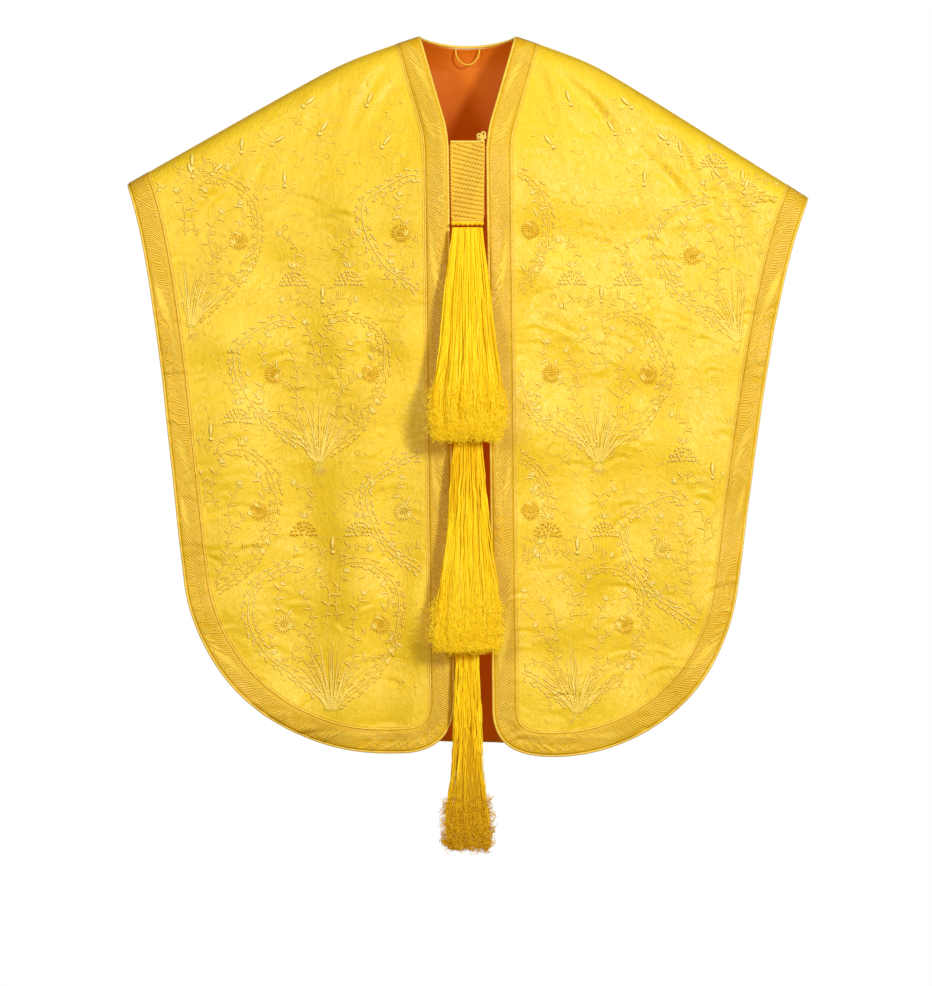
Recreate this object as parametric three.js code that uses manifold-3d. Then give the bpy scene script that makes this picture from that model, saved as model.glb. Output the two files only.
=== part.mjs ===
// A full-cut chasuble, open down the front and shown as worn: two front panels and a back panel
// hang from the shoulder line, and a breast band with a three-tier tassel closes the opening.
//
// Millimetres. The origin is on the wearer's shoulder line at the middle of the neck.
// +Z is up, the front faces -Y, and left and right are those of someone who looks at the front.
import * as THREE from "three";
import { mergeVertices } from "three/addons/utils/BufferGeometryUtils.js";
import Module from "manifold-3d";

// Outline of each side, seen from the front: distance out from the middle, then height.
const NECK_HALF = 78;
const V_FOOT = [36, -150];
const V_BEND = [31.5, -172];
const EDGE_TOP = [30, -196];
const HEM_CORNER = 95;
const SIDES = {
  left: {
    sign: -1,
    shoulderDrop: 0.229,
    edgeFoot: [20, -1092],
    hemStart: -1183,
    hemTurn: [[115, -1183], [300, -1192], [440, -1070], [466, -905]],
    flank: [[466, -905], [493, -680], [518, -350], [564, -246]],
  },
  right: {
    sign: 1,
    shoulderDrop: 0.291,
    edgeFoot: [40, -1108],
    hemStart: -1189,
    hemTurn: [[135, -1189], [300, -1192], [425, -1075], [446, -905]],
    flank: [[446, -905], [472, -700], [505, -400], [565, -269]],
  },
};
const BACK_HEM_RISE = 10;
const BACK_HEM_MIDDLE = -1176;

// Shoulder line: gentle near the neck, steeper past the shoulder, rounded over the middle.
const NECK_SLOPE = 0.34;
const SHOULDER_X = 205;
const SHOULDER_ROUND = 40;
const MIDDLE_ROUND = 25;
const NECK_DIP = 10;

// How the cloth stands out from the shoulder line, front and back.
const FRONT = { neckRoll: 30, armRoll: 44, bulge: 80, bulgeWidth: 205, rise: 240, fallIn: 0.16 };
const BACK = { neckRoll: 62, armRoll: 44, bulge: 50, bulgeWidth: 230, rise: 220, fallIn: 0.1 };
const ROLL_SPAN = [60, 220];
const SIDE_FLARE = 0.03;
const FOLD_HEIGHT = 9;
const FOLD_LENGTH = 190;

// Layers, measured outward from the middle of the outer silk.
const SILK = [-0.7, 0.7];
const INTERLINING = [-2.1, -1.1];
const LINING = [-3.3, -2.5];
const BAND = [1.1, 2.3];
const BAND_WIDTH = 33;
const EDGE_INSET = 5;
const LAYER_INSET = 0.3;
const TRIM_INSET = 0.25;
const SEAM_GAP = 1.2;

// How far each column of the grid leans in, per millimetre down from the shoulder line.
const COLUMN_LEAN = 0.29;

// Mesh fineness.
const TOP_ROWS = [0, 4, 14, 33, 62];
const LOWER_ROWS = 9;
const FIELD_COLUMNS = 6;

// Piping, by radius.
const EDGE_PIPE = 2.2;
const EDGE_PIPE_GAP = 0.6;
const NECK_PIPE_GAP = 1.2;
const LINE_PIPE = 1.1;
const LINE_PIPE_GAP = 0.8;
const PIPE_SIDES = 6;
const RIM_TRIM = 0.3;
const LOOP_RADIUS = 1.5;

// Breast band, in its own plane: y is 0 at mid-thickness and negative in front.
const CLOSURE_TOP = [-186, -103.1];
const CLOSURE_FOOT = [-312, -110.3];
const CLOSURE_HALF = [28.3, 26.2];
const CLOSURE_THICK = 2;
const STUD_X = 19;
const STUD_SPACING = 44;
const LATTICE_BARS = 5;

// Tassel, hung from a cord with a row of knots.
const HEAD_Z = -318;
const KNOT_Y = -122;
const KNOT_R = 3.7;
const KNOT_COUNT = 7;
const KNOT_PITCH = 7.6;

// Each tassel tier from top to bottom: height, half width, back, front.
const TIERS = {
  upper_tassel: [
    [-325, 23, -126.6, -133],
    [-417, 35, -131, -146],
    [-496, 42, -135, -158],
    [-560, 52, -139, -172],
    [-614, 63, -141, -185],
    [-653, 58, -141, -182],
    [-673, 47, -142, -172],
  ],
  middle_tassel: [
    [-325, 21, -119.6, -125.6],
    [-673, 22, -121, -139],
    [-757, 31, -121, -144],
    [-842, 37, -122, -150],
    [-939, 54, -123, -162],
    [-985, 58, -124, -166],
    [-1015, 46, -124, -156],
  ],
  lower_tassel: [
    [-325, 19, -112.8, -118.6],
    [-1017, 19, -108, -122],
    [-1124, 23, -108, -123],
    [-1196, 26, -107, -126],
    [-1294, 40, -104, -137],
    [-1322, 36, -105, -135],
    [-1338, 28, -107, -130],
  ],
};
const TIER_SIDES = 14;

const COLOUR = {
  silk: 0xe2b93a,
  band: 0xd9ab2c,
  lining: 0xa8651a,
  interlining: 0xd8cba6,
  piping: 0xf0cf62,
  tassel: 0xefbf18,
  metal: 0xc9a24a,
};

const wasm = await Module();
wasm.setup();

// ---- Shape of the draped cloth ----

function smooth(value, low, high) {
  const t = Math.min(1, Math.max(0, (value - low) / (high - low)));
  return t * t * (3 - 2 * t);
}

function shoulderHeight(x, side) {
  const near = Math.hypot(x, MIDDLE_ROUND) - Math.hypot(NECK_HALF, MIDDLE_ROUND);
  const past = Math.abs(x) - SHOULDER_X;
  const steeper = (past + Math.hypot(past, SHOULDER_ROUND)) / 2;
  return -NECK_SLOPE * near - side.shoulderDrop * steeper;
}

// How far the cloth stands in front of, or behind, the shoulder line.
function standOut(x, z, side, face) {
  const depth = Math.max(0, shoulderHeight(x, side) - z);
  const roll = face.neckRoll + (face.armRoll - face.neckRoll) * smooth(x, ...ROLL_SPAN);
  const lap = 1 - Math.min(1, depth / roll);
  const bulge = face.bulge * Math.exp(-((x / face.bulgeWidth) ** 2)) * smooth(depth, 0, face.rise);
  const fall = 1 - face.fallIn * smooth(depth, 330, 1170);
  const flare = SIDE_FLARE * depth * smooth(x, 150, 500);
  const fold = FOLD_HEIGHT * smooth(depth, 320, 1100) * smooth(x, 45, 170);
  const wave = fold * Math.cos((2 * Math.PI * x) / FOLD_LENGTH);
  return SEAM_GAP + roll * Math.sqrt(1 - lap * lap) + bulge * fall + flare + wave;
}

// A point on the cloth with its outward direction; x is counted out from the middle.
function clothPoint(x, z, side, face) {
  const out = face === FRONT ? -1 : 1;
  const step = 0.05;
  const low = Math.min(z, shoulderHeight(x, side) - 0.5);
  const across = standOut(x + step, low, side, face) - standOut(x - step, low, side, face);
  const down = standOut(x, low + step, side, face) - standOut(x, low - step, side, face);
  const normal = new THREE.Vector3(
    (-side.sign * across) / (2 * step),
    out,
    -down / (2 * step),
  ).normalize();
  const place = new THREE.Vector3(side.sign * x, out * standOut(x, z, side, face), z);
  return { place, normal };
}

// ---- Outline ----

function bezier(points) {
  const p = points.map(([x, y]) => new THREE.Vector2(x, y));
  if (p.length === 2) return new THREE.LineCurve(...p);
  return p.length === 3 ? new THREE.QuadraticBezierCurve(...p) : new THREE.CubicBezierCurve(...p);
}

// The two halves of a Bezier curve, cut at its middle.
function halves(points) {
  const first = [];
  const second = [];
  for (let row = points; row.length; ) {
    first.push(row[0]);
    second.unshift(row[row.length - 1]);
    row = row.slice(1).map(([x, y], k) => [(x + row[k][0]) / 2, (y + row[k][1]) / 2]);
  }
  return [first, second];
}

// The border of a half, from the middle of the neck round to the sleeve tip, with the lengths at
// which it passes the two hem corners. It turns anticlockwise, so its left side is the cloth.
function border(side, face) {
  const path = new THREE.CurvePath();
  const rise = face === BACK ? BACK_HEM_RISE : 0;
  const [turnA, turnB] = halves(side.hemTurn.map(([x, z], k) => [x, k < 3 ? z + rise : z]));
  let inner = 0;
  if (face === FRONT) {
    const foot = side.edgeFoot;
    const corner = [foot, [foot[0], side.hemStart], [foot[0] + HEM_CORNER, side.hemStart]];
    const [cornerA, cornerB] = halves(corner);
    path.add(bezier([[NECK_HALF, 0], V_FOOT]));
    path.add(bezier([V_FOOT, V_BEND, EDGE_TOP]));
    path.add(bezier([EDGE_TOP, foot]));
    path.add(bezier(cornerA));
    inner = path.getLength();
    path.add(bezier(cornerB));
  } else {
    const [outX, outZ] = turnA[0];
    const half = outX / 2;
    path.add(bezier([[0, BACK_HEM_MIDDLE], [half, BACK_HEM_MIDDLE], [half, outZ], [outX, outZ]]));
  }
  path.add(bezier(turnA));
  path.updateArcLengths();
  const outer = path.getLength();
  path.add(bezier(turnB));
  path.add(bezier(side.flank));
  path.updateArcLengths();
  const total = path.getLength();
  const at = (length, inset) => {
    const t = Math.min(1, Math.max(0, length / total));
    const point = path.getPointAt(t);
    const tangent = path.getTangentAt(t);
    return [point.x - inset * tangent.y, point.y + inset * tangent.x];
  };
  return { inner, outer, total, at };
}

// ---- Grids of cloth points ----

const mix = (a, b, t) => [a[0] + (b[0] - a[0]) * t, a[1] + (b[1] - a[1]) * t];

// One half of the front or back as columns of points, from the middle out and from the top down.
// The outermost ring of cells is the border band.
function halfGrid(side, face) {
  const edge = border(side, face);
  const front = face === FRONT;
  const bandInset = EDGE_INSET + BAND_WIDTH;
  const tipX = side.flank[3][0] - EDGE_INSET;
  const neckX = NECK_HALF + EDGE_INSET;
  const fieldStart = neckX + BAND_WIDTH;
  const fieldEnd = tipX - BAND_WIDTH;
  const topX = front ? [neckX] : [0, neckX / 3, (2 * neckX) / 3, neckX];
  for (let k = 0; k <= FIELD_COLUMNS; k++)
    topX.push(fieldStart + ((fieldEnd - fieldStart) * k) / FIELD_COLUMNS);
  topX.push(tipX);
  const last = topX.length - 1;
  const first = front ? 1 : 0;
  const neckDip = (x) => (x < neckX ? (NECK_DIP + EDGE_INSET) * (1 - (x / neckX) ** 2) : 0);
  const topPoint = (k, depth) => {
    const x = topX[k];
    const slant = front || x > neckX ? COLUMN_LEAN : (COLUMN_LEAN * x) / neckX;
    const moved = x - slant * depth;
    if (front || x >= neckX) return [moved, shoulderHeight(moved, side) - depth];
    return [moved, -neckDip(x) - depth];
  };
  const startDepth = TOP_ROWS[TOP_ROWS.length - 1];
  const along = (t) => startDepth + (edge.inner - startDepth) * t;
  const leftSide = (t) => {
    if (front) return edge.at(along(t), bandInset);
    const top = -neckDip(0) - startDepth;
    return [0, top + (edge.at(0, bandInset)[1] - top) * t];
  };
  const upFlank = (t) => edge.total - startDepth - (edge.total - startDepth - edge.outer) * t;
  const rightSide = (t) => edge.at(upFlank(t), bandInset);
  const foot = (u) => edge.at(edge.inner + (edge.outer - edge.inner) * u, bandInset);
  const place = (k, row) => {
    if (row < TOP_ROWS.length) return topPoint(k, TOP_ROWS[row]);
    const t = Math.min(1, (row - TOP_ROWS.length + 1) / (LOWER_ROWS - 1));
    const below = row - TOP_ROWS.length + 1 >= LOWER_ROWS;
    const edgeEnd = edge.inner - BAND_WIDTH;
    const flankStart = edge.total - startDepth;
    const flankEnd = edge.outer + BAND_WIDTH;
    if (front && k === 0) {
      if (below) return edge.at(edge.inner, EDGE_INSET);
      return edge.at(startDepth + (edgeEnd - startDepth) * t, EDGE_INSET);
    }
    if (k === last) {
      if (below) return edge.at(edge.outer, EDGE_INSET);
      return edge.at(flankStart - (flankStart - flankEnd) * t, EDGE_INSET);
    }
    const u = (topX[k] - topX[first]) / (topX[last - 1] - topX[first]);
    if (below) {
      const start = front ? edge.inner + BAND_WIDTH : 0;
      return edge.at(start + (edge.outer - BAND_WIDTH - start) * u, EDGE_INSET);
    }
    const top = topPoint(k, startDepth);
    const level = mix(topPoint(first, startDepth), topPoint(last - 1, startDepth), u);
    const footLevel = mix(foot(0), foot(1), u);
    const across = mix(leftSide(t), rightSide(t), u);
    const downward = mix(top, foot(u), t);
    const flat = mix(level, footLevel, t);
    return [across[0] + downward[0] - flat[0], across[1] + downward[1] - flat[1]];
  };
  const rows = TOP_ROWS.length + LOWER_ROWS;
  return topX.map((_, k) =>
    Array.from({ length: rows }, (_, row) => clothPoint(...place(k, row), side, face)),
  );
}

// The two halves of the back as one grid, from left to right.
function mirrorJoin(left, right) {
  return [...left.slice(1).reverse(), ...right];
}

// The same grid with each point's direction averaged from the facets round it, so that layers
// offset along it stay parallel.
function faceted(grid) {
  const sums = grid.map((column) => column.map(() => new THREE.Vector3()));
  const add = (...corners) => {
    const [a, b, c] = corners.map(([i, j]) => grid[i][j].place);
    const facet = new THREE.Vector3().subVectors(b, a).cross(new THREE.Vector3().subVectors(c, a));
    facet.normalize();
    const [i, j] = corners[0];
    if (facet.dot(grid[i][j].normal) < 0) facet.negate();
    for (const [k, l] of corners) sums[k][l].add(facet);
  };
  for (let i = 0; i + 1 < grid.length; i++)
    for (let j = 0; j + 1 < grid[0].length; j++) {
      add([i, j], [i + 1, j], [i + 1, j + 1]);
      add([i, j], [i + 1, j + 1], [i, j + 1]);
    }
  return grid.map((column, i) =>
    column.map(({ place }, j) => ({ place, normal: sums[i][j].normalize() })),
  );
}

// ---- Solids ----

function fromFaces(points, faces) {
  const geometry = new THREE.BufferGeometry();
  const numbers = points.flatMap((p) => p.toArray());
  geometry.setAttribute("position", new THREE.Float32BufferAttribute(numbers, 3));
  geometry.setIndex(faces);
  geometry.computeVertexNormals();
  return geometry;
}

// A closed layer over the chosen cells of a grid, between two distances from the cloth's middle.
// inset draws its free edges in, so that layers side by side keep a gap.
function layer(grid, [low, high], inset, chosen = () => true) {
  const columns = grid.length - 1;
  const rows = grid[0].length - 1;
  const has = (i, j) => i >= 0 && j >= 0 && i < columns && j < rows && chosen(i, j, columns, rows);
  const points = [];
  const index = new Map();
  const vertex = (i, j) => {
    const key = i * (rows + 1) + j;
    if (index.has(key)) return index.get(key);
    const { place, normal } = grid[i][j];
    const around = [[i - 1, j - 1], [i, j - 1], [i - 1, j], [i, j]].filter(([a, b]) => has(a, b));
    const moved = place.clone();
    if (around.length < 4) {
      const beside = [[i - 1, j], [i + 1, j], [i, j - 1], [i, j + 1]].map(([a, b]) => ({
        at: grid[a] && grid[a][b],
        shared: around.filter(([c, d]) => (a === c || a === c + 1) && (b === d || b === d + 1)).length,
      }));
      const most = Math.max(...beside.map((one) => one.shared));
      for (const one of beside)
        if (one.shared === most)
          moved.addScaledVector(new THREE.Vector3().subVectors(one.at.place, place).normalize(), inset);
    }
    const at = points.length;
    points.push(moved.clone().addScaledVector(normal, low), moved.clone().addScaledVector(normal, high));
    index.set(key, at);
    return at;
  };
  const middle = grid[1][3];
  const turn = new THREE.Vector3()
    .subVectors(grid[2][3].place, middle.place)
    .cross(new THREE.Vector3().subVectors(grid[1][4].place, middle.place));
  const faces = [];
  const quad = (a, b, c, d) =>
    turn.dot(middle.normal) > 0 ? faces.push(a, b, c, a, c, d) : faces.push(a, c, b, a, d, c);
  for (let i = 0; i < columns; i++)
    for (let j = 0; j < rows; j++) {
      if (!has(i, j)) continue;
      const [a, b, c, d] = [vertex(i, j), vertex(i + 1, j), vertex(i + 1, j + 1), vertex(i, j + 1)];
      quad(a + 1, b + 1, c + 1, d + 1);
      quad(c, b, a, d);
      if (!has(i, j - 1)) quad(a, b, b + 1, a + 1);
      if (!has(i + 1, j)) quad(b, c, c + 1, b + 1);
      if (!has(i, j + 1)) quad(c, d, d + 1, c + 1);
      if (!has(i - 1, j)) quad(d, a, a + 1, d + 1);
    }
  return fromFaces(points, faces);
}

function cordAlong(points, radius, steps) {
  const section = new THREE.Shape().absarc(0, 0, radius, 0, 2 * Math.PI);
  const extrudePath = new THREE.CatmullRomCurve3(points, false, "centripetal");
  return new THREE.ExtrudeGeometry(section, { steps, extrudePath, curveSegments: 4 });
}

// A closed body through oval sections, from the top down.
function oval(sections) {
  const points = [];
  const faces = [];
  sections.forEach(([z, half, back, front]) => {
    for (let k = 0; k < TIER_SIDES; k++) {
      const turn = (2 * Math.PI * k) / TIER_SIDES;
      const y = (back + front) / 2 + (Math.sin(turn) * (back - front)) / 2;
      points.push(new THREE.Vector3(half * Math.cos(turn), y, z));
    }
  });
  const ring = (s, k) => s * TIER_SIDES + (k % TIER_SIDES);
  for (let s = 0; s + 1 < sections.length; s++)
    for (let k = 0; k < TIER_SIDES; k++) {
      faces.push(ring(s, k), ring(s + 1, k), ring(s + 1, k + 1));
      faces.push(ring(s, k), ring(s + 1, k + 1), ring(s, k + 1));
    }
  for (let k = 1; k + 1 < TIER_SIDES; k++) {
    faces.push(ring(0, 0), ring(0, k), ring(0, k + 1));
    const end = sections.length - 1;
    faces.push(ring(end, 0), ring(end, k + 1), ring(end, k));
  }
  return fromFaces(points, faces);
}

function slab(outline, back, front) {
  const shape = new THREE.Shape(outline.map(([x, z]) => new THREE.Vector2(x, z)));
  const geometry = new THREE.ExtrudeGeometry(shape, { depth: back - front, bevelEnabled: false });
  return geometry.rotateX(Math.PI / 2).translate(0, back, 0);
}

function disc(radius, back, front, hole = 0) {
  const shape = new THREE.Shape().absarc(0, 0, radius, 0, 2 * Math.PI);
  if (hole) shape.holes.push(new THREE.Path().absarc(0, 0, hole, 0, 2 * Math.PI, true));
  const options = { depth: back - front, bevelEnabled: false, curveSegments: 6 };
  return new THREE.ExtrudeGeometry(shape, options).rotateX(Math.PI / 2).translate(0, back, 0);
}

function toSolid(geometry) {
  const bare = geometry.clone();
  bare.deleteAttribute("normal");
  bare.deleteAttribute("uv");
  const merged = mergeVertices(bare, 1e-3);
  const vertProperties = merged.attributes.position.array;
  return new wasm.Manifold(
    new wasm.Mesh({ numProp: 3, vertProperties, triVerts: new Uint32Array(merged.index.array) }),
  );
}

function toGeometry(solid) {
  const { vertProperties, triVerts } = solid.getMesh();
  const geometry = new THREE.BufferGeometry();
  geometry.setAttribute("position", new THREE.BufferAttribute(vertProperties, 3));
  geometry.setIndex(new THREE.BufferAttribute(triVerts, 1));
  geometry.computeVertexNormals();
  return geometry;
}

// ---- Sub-parts ----

function piece(parent, name, geometry, kind) {
  const metal = kind === "metal";
  const material = new THREE.MeshStandardMaterial({
    color: COLOUR[kind],
    roughness: metal ? 0.35 : 0.6,
    metalness: metal ? 0.9 : 0,
  });
  const mesh = new THREE.Mesh(geometry, material);
  mesh.name = name;
  parent.add(mesh);
  return mesh;
}

const onEdge = (i) => i === 0;
const onSide = (i, j, columns) => i === columns - 1;
const onHem = (i, j, columns, rows) => j === rows - 1;

const nodeAt = (grid, i, j, fromI, fromJ) => ({ ...grid[i][j], from: grid[fromI][fromJ].place });

// The ends of a run of nodes, drawn in so that they stay clear of the shoulder seam.
function trimmed(nodes, share) {
  const toward = (a, b) => ({
    normal: a.normal.clone().lerp(b.normal, share).normalize(),
    place: a.place.clone().lerp(b.place, share),
    from: a.from.clone().lerp(b.from, share),
  });
  const n = nodes.length;
  return [toward(nodes[0], nodes[1]), ...nodes.slice(1, n - 1), toward(nodes[n - 1], nodes[n - 2])];
}

// The free border of a grid: down its first column, along the hem and up its last column.
function rim(grid) {
  const columns = grid.length - 1;
  const rows = grid[0].length - 1;
  const nodes = [];
  for (let j = 0; j < rows; j++) nodes.push(nodeAt(grid, 0, j, 1, j));
  nodes.push(nodeAt(grid, 0, rows, 1, rows - 1));
  for (let i = 1; i < columns; i++) nodes.push(nodeAt(grid, i, rows, i, rows - 1));
  nodes.push(nodeAt(grid, columns, rows, columns - 1, rows - 1));
  for (let j = rows - 1; j >= 0; j--) nodes.push(nodeAt(grid, columns, j, columns - 1, j));
  return trimmed(nodes, RIM_TRIM);
}

// The line where the border band meets the field.
function fieldLine(grid) {
  const columns = grid.length - 1;
  const rows = grid[0].length - 1;
  const nodes = [];
  for (let j = 0; j < rows - 1; j++) nodes.push(nodeAt(grid, 1, j, 0, j));
  for (let i = 1; i < columns; i++) nodes.push(nodeAt(grid, i, rows - 1, i, rows));
  for (let j = rows - 2; j >= 0; j--) nodes.push(nodeAt(grid, columns - 1, j, columns, j));
  return trimmed(nodes, RIM_TRIM);
}

// A closed bead along a run of nodes, straight between them as the facets are. away is how far
// it lies to the side of the nodes, and lift how far above the middle of the cloth.
function beading(nodes, away, lift, radius) {
  const points = [];
  const faces = [];
  nodes.forEach(({ place, normal, from }, k) => {
    const before = nodes[Math.max(0, k - 1)].place;
    const after = nodes[Math.min(nodes.length - 1, k + 1)].place;
    const run = new THREE.Vector3().subVectors(after, before).normalize();
    const outward = new THREE.Vector3().crossVectors(run, normal).normalize();
    if (outward.dot(new THREE.Vector3().subVectors(place, from)) < 0) outward.negate();
    const step = k ? new THREE.Vector3().subVectors(place, before).normalize() : run;
    const mitre = 1 / Math.max(0.7, step.dot(run));
    const hand = Math.sign(new THREE.Vector3().crossVectors(outward, normal).dot(run));
    for (let s = 0; s < PIPE_SIDES; s++) {
      const turn = (hand * 2 * Math.PI * (s + 0.5)) / PIPE_SIDES;
      const point = place.clone().addScaledVector(outward, mitre * (away + radius * Math.cos(turn)));
      points.push(point.addScaledVector(normal, lift + radius * Math.sin(turn)));
    }
  });
  const ring = (k, s) => k * PIPE_SIDES + (s % PIPE_SIDES);
  for (let k = 0; k + 1 < nodes.length; k++)
    for (let s = 0; s < PIPE_SIDES; s++) {
      faces.push(ring(k, s), ring(k, s + 1), ring(k + 1, s + 1));
      faces.push(ring(k, s), ring(k + 1, s + 1), ring(k + 1, s));
    }
  const end = nodes.length - 1;
  for (let s = 1; s + 1 < PIPE_SIDES; s++) {
    faces.push(ring(0, 0), ring(0, s + 1), ring(0, s));
    faces.push(ring(end, 0), ring(end, s), ring(end, s + 1));
  }
  return fromFaces(points, faces);
}

function pipings(parent, grid, label) {
  const mid = (BAND[1] + LINING[0]) / 2;
  const beside = EDGE_PIPE + EDGE_PIPE_GAP;
  piece(parent, label + "_edge_piping", beading(rim(grid), beside, mid, EDGE_PIPE), "piping");
  const onTop = SILK[1] + LINE_PIPE_GAP + LINE_PIPE;
  const inward = LINE_PIPE + LINE_PIPE_GAP;
  piece(parent, label + "_field_piping", beading(fieldLine(grid), inward, onTop, LINE_PIPE), "piping");
}

function frontPieces(parent, name) {
  const grid = faceted(halfGrid(SIDES[name], FRONT));
  const label = "front_" + name;
  piece(parent, label + "_panel", layer(grid, SILK, 0), "silk");
  piece(parent, label + "_interlining", layer(grid, INTERLINING, LAYER_INSET), "interlining");
  piece(parent, label + "_lining", layer(grid, LINING, LAYER_INSET), "lining");
  piece(parent, label + "_edge_band", layer(grid, BAND, TRIM_INSET, onEdge), "band");
  const hemOnly = (i, j, c, r) => onHem(i, j, c, r) && i > 0 && i < c - 1;
  piece(parent, label + "_hem_band", layer(grid, BAND, TRIM_INSET, hemOnly), "band");
  piece(parent, label + "_side_band", layer(grid, BAND, TRIM_INSET, onSide), "band");
  pipings(parent, grid, label);
}

function backPieces(parent) {
  const grid = faceted(mirrorJoin(halfGrid(SIDES.left, BACK), halfGrid(SIDES.right, BACK)));
  const middle = (grid.length - 1) / 2;
  const neckCells = 4;
  const neckRows = 3;
  const byNeck = (i, j) => i >= middle - neckCells && i < middle + neckCells && j < neckRows;
  piece(parent, "back_panel", layer(grid, SILK, 0), "silk");
  piece(parent, "back_interlining", layer(grid, INTERLINING, LAYER_INSET), "interlining");
  piece(parent, "back_lining", layer(grid, LINING, LAYER_INSET), "lining");
  piece(parent, "back_neck_band", layer(grid, BAND, TRIM_INSET, byNeck), "band");
  const hemOnly = (i, j, c, r) => onHem(i, j, c, r) && i > 0 && i < c - 1;
  piece(parent, "back_hem_band", layer(grid, BAND, TRIM_INSET, hemOnly), "band");
  piece(parent, "back_left_side_band", layer(grid, BAND, TRIM_INSET, onEdge), "band");
  piece(parent, "back_right_side_band", layer(grid, BAND, TRIM_INSET, onSide), "band");
  pipings(parent, grid, "back");
  const neckNodes = [];
  for (let i = middle - 3; i <= middle + 3; i++) neckNodes.push(nodeAt(grid, i, 0, i, 1));
  const neckRun = trimmed(neckNodes, 0.12);
  const beside = EDGE_PIPE + NECK_PIPE_GAP;
  piece(parent, "back_neck_piping", beading(neckRun, beside, 0, EDGE_PIPE), "piping");
  const loop = [[-20, 50, -15], [-18, 48.6, -28], [-9, 47.8, -39], [0, 47.6, -42]];
  const half = loop.map(([x, y, z]) => new THREE.Vector3(x, y, z));
  const other = loop.slice(0, -1).reverse().map(([x, y, z]) => new THREE.Vector3(-x, y, z));
  piece(parent, "hanging_loop", cordAlong([...half, ...other], LOOP_RADIUS, 18), "band");
}

// A group whose z runs up the breast band's plane, with its origin at the middle of the top edge.
function closureFrame() {
  const group = new THREE.Group();
  const [topZ, topY] = CLOSURE_TOP;
  const [footZ, footY] = CLOSURE_FOOT;
  group.position.set(0, topY, topZ);
  group.rotation.x = Math.atan2(topY - footY, topZ - footZ) * -1;
  return group;
}

const CLOSURE_LENGTH = Math.hypot(CLOSURE_TOP[0] - CLOSURE_FOOT[0], CLOSURE_TOP[1] - CLOSURE_FOOT[1]);

function latticeSolid() {
  const [topHalf, footHalf] = CLOSURE_HALF;
  const margin = 4;
  const back = -CLOSURE_THICK / 2 - 0.3;
  const front = back - 1.6;
  const bar = (x1, z1, x2, z2) => {
    const length = Math.hypot(x2 - x1, z2 - z1);
    const box = new THREE.BoxGeometry(length, back - front, 1.8);
    box.rotateY(-Math.atan2(z2 - z1, x2 - x1));
    return toSolid(box.translate((x1 + x2) / 2, (back + front) / 2, (z1 + z2) / 2));
  };
  const halfAt = (z) => topHalf + ((footHalf - topHalf) * -z) / CLOSURE_LENGTH - margin;
  const high = -margin;
  const low = margin - CLOSURE_LENGTH;
  let all = bar(-halfAt(high), high, halfAt(high), high).add(bar(-halfAt(low), low, halfAt(low), low));
  for (const hand of [-1, 1]) all = all.add(bar(hand * halfAt(high), high, hand * halfAt(low), low));
  const pitch = (high - low) / LATTICE_BARS;
  for (let k = 0; k < LATTICE_BARS; k++) {
    const top = high - k * pitch;
    const foot = top - pitch;
    for (const hand of [-1, 1]) all = all.add(bar(hand * halfAt(top), top, -hand * halfAt(foot), foot));
  }
  return toGeometry(all);
}

function closurePieces(parent) {
  const frame = closureFrame();
  const [topHalf, footHalf] = CLOSURE_HALF;
  const half = CLOSURE_THICK / 2;
  const foot = -CLOSURE_LENGTH;
  const outline = [[-topHalf, 0], [-footHalf, foot], [footHalf, foot], [topHalf, 0]];
  piece(frame, "breast_band", slab(outline, half, -half), "band");
  const inner = outline.map(([x, z]) => [x * 0.96, z === 0 ? -1 : foot + 1]);
  piece(frame, "breast_band_backing", slab(inner, half + 1.1, half + 0.3), "lining");
  piece(frame, "breast_band_lattice", latticeSolid(), "band");
  const rollAcross = (name, z, reach) => {
    const roll = new THREE.CylinderGeometry(2.1, 2.1, 2 * reach, 10).rotateZ(Math.PI / 2);
    piece(frame, name, roll.translate(0, 0, z), "piping");
  };
  rollAcross("breast_band_top_binding", 2.5, topHalf);
  rollAcross("breast_band_foot_binding", foot - 2.5, footHalf);
  const knot = new THREE.TorusKnotGeometry(3.4, 1.5, 28, 5, 2, 3);
  piece(frame, "corner_knot", knot.translate(topHalf - 5, -1, 8.1), "piping");
  studHeights().forEach((z, k) => {
    const base = toSolid(disc(4.3, half + 2.2, half + 1.4));
    const ball = toSolid(disc(1.7, half + 5, half + 2));
    const stud = toGeometry(base.add(ball));
    piece(frame, "press_stud_" + (k + 1), stud.translate(STUD_X, 0, z), "metal");
  });
  parent.add(frame);
}

const studHeights = () => [-1, 0, 1].map((k) => -CLOSURE_LENGTH / 2 - k * STUD_SPACING);

// The tab behind the breast band, sewn inside the right front, with its press sockets.
function tabPieces(parent) {
  const frame = closureFrame();
  const back = CLOSURE_THICK / 2 + 7.6;
  const front = CLOSURE_THICK / 2 + 6;
  const outline = [[6, -6], [6, 8 - CLOSURE_LENGTH], [38, 8 - CLOSURE_LENGTH], [38, -6]];
  piece(frame, "closure_tab", slab(outline, back, front), "lining");
  studHeights().forEach((z, k) => {
    const socket = disc(4.8, front - 0.3, front - 2.6, 2.9);
    piece(frame, "press_socket_" + (k + 1), socket.translate(STUD_X, 0, z), "metal");
  });
  parent.add(frame);
}

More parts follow.
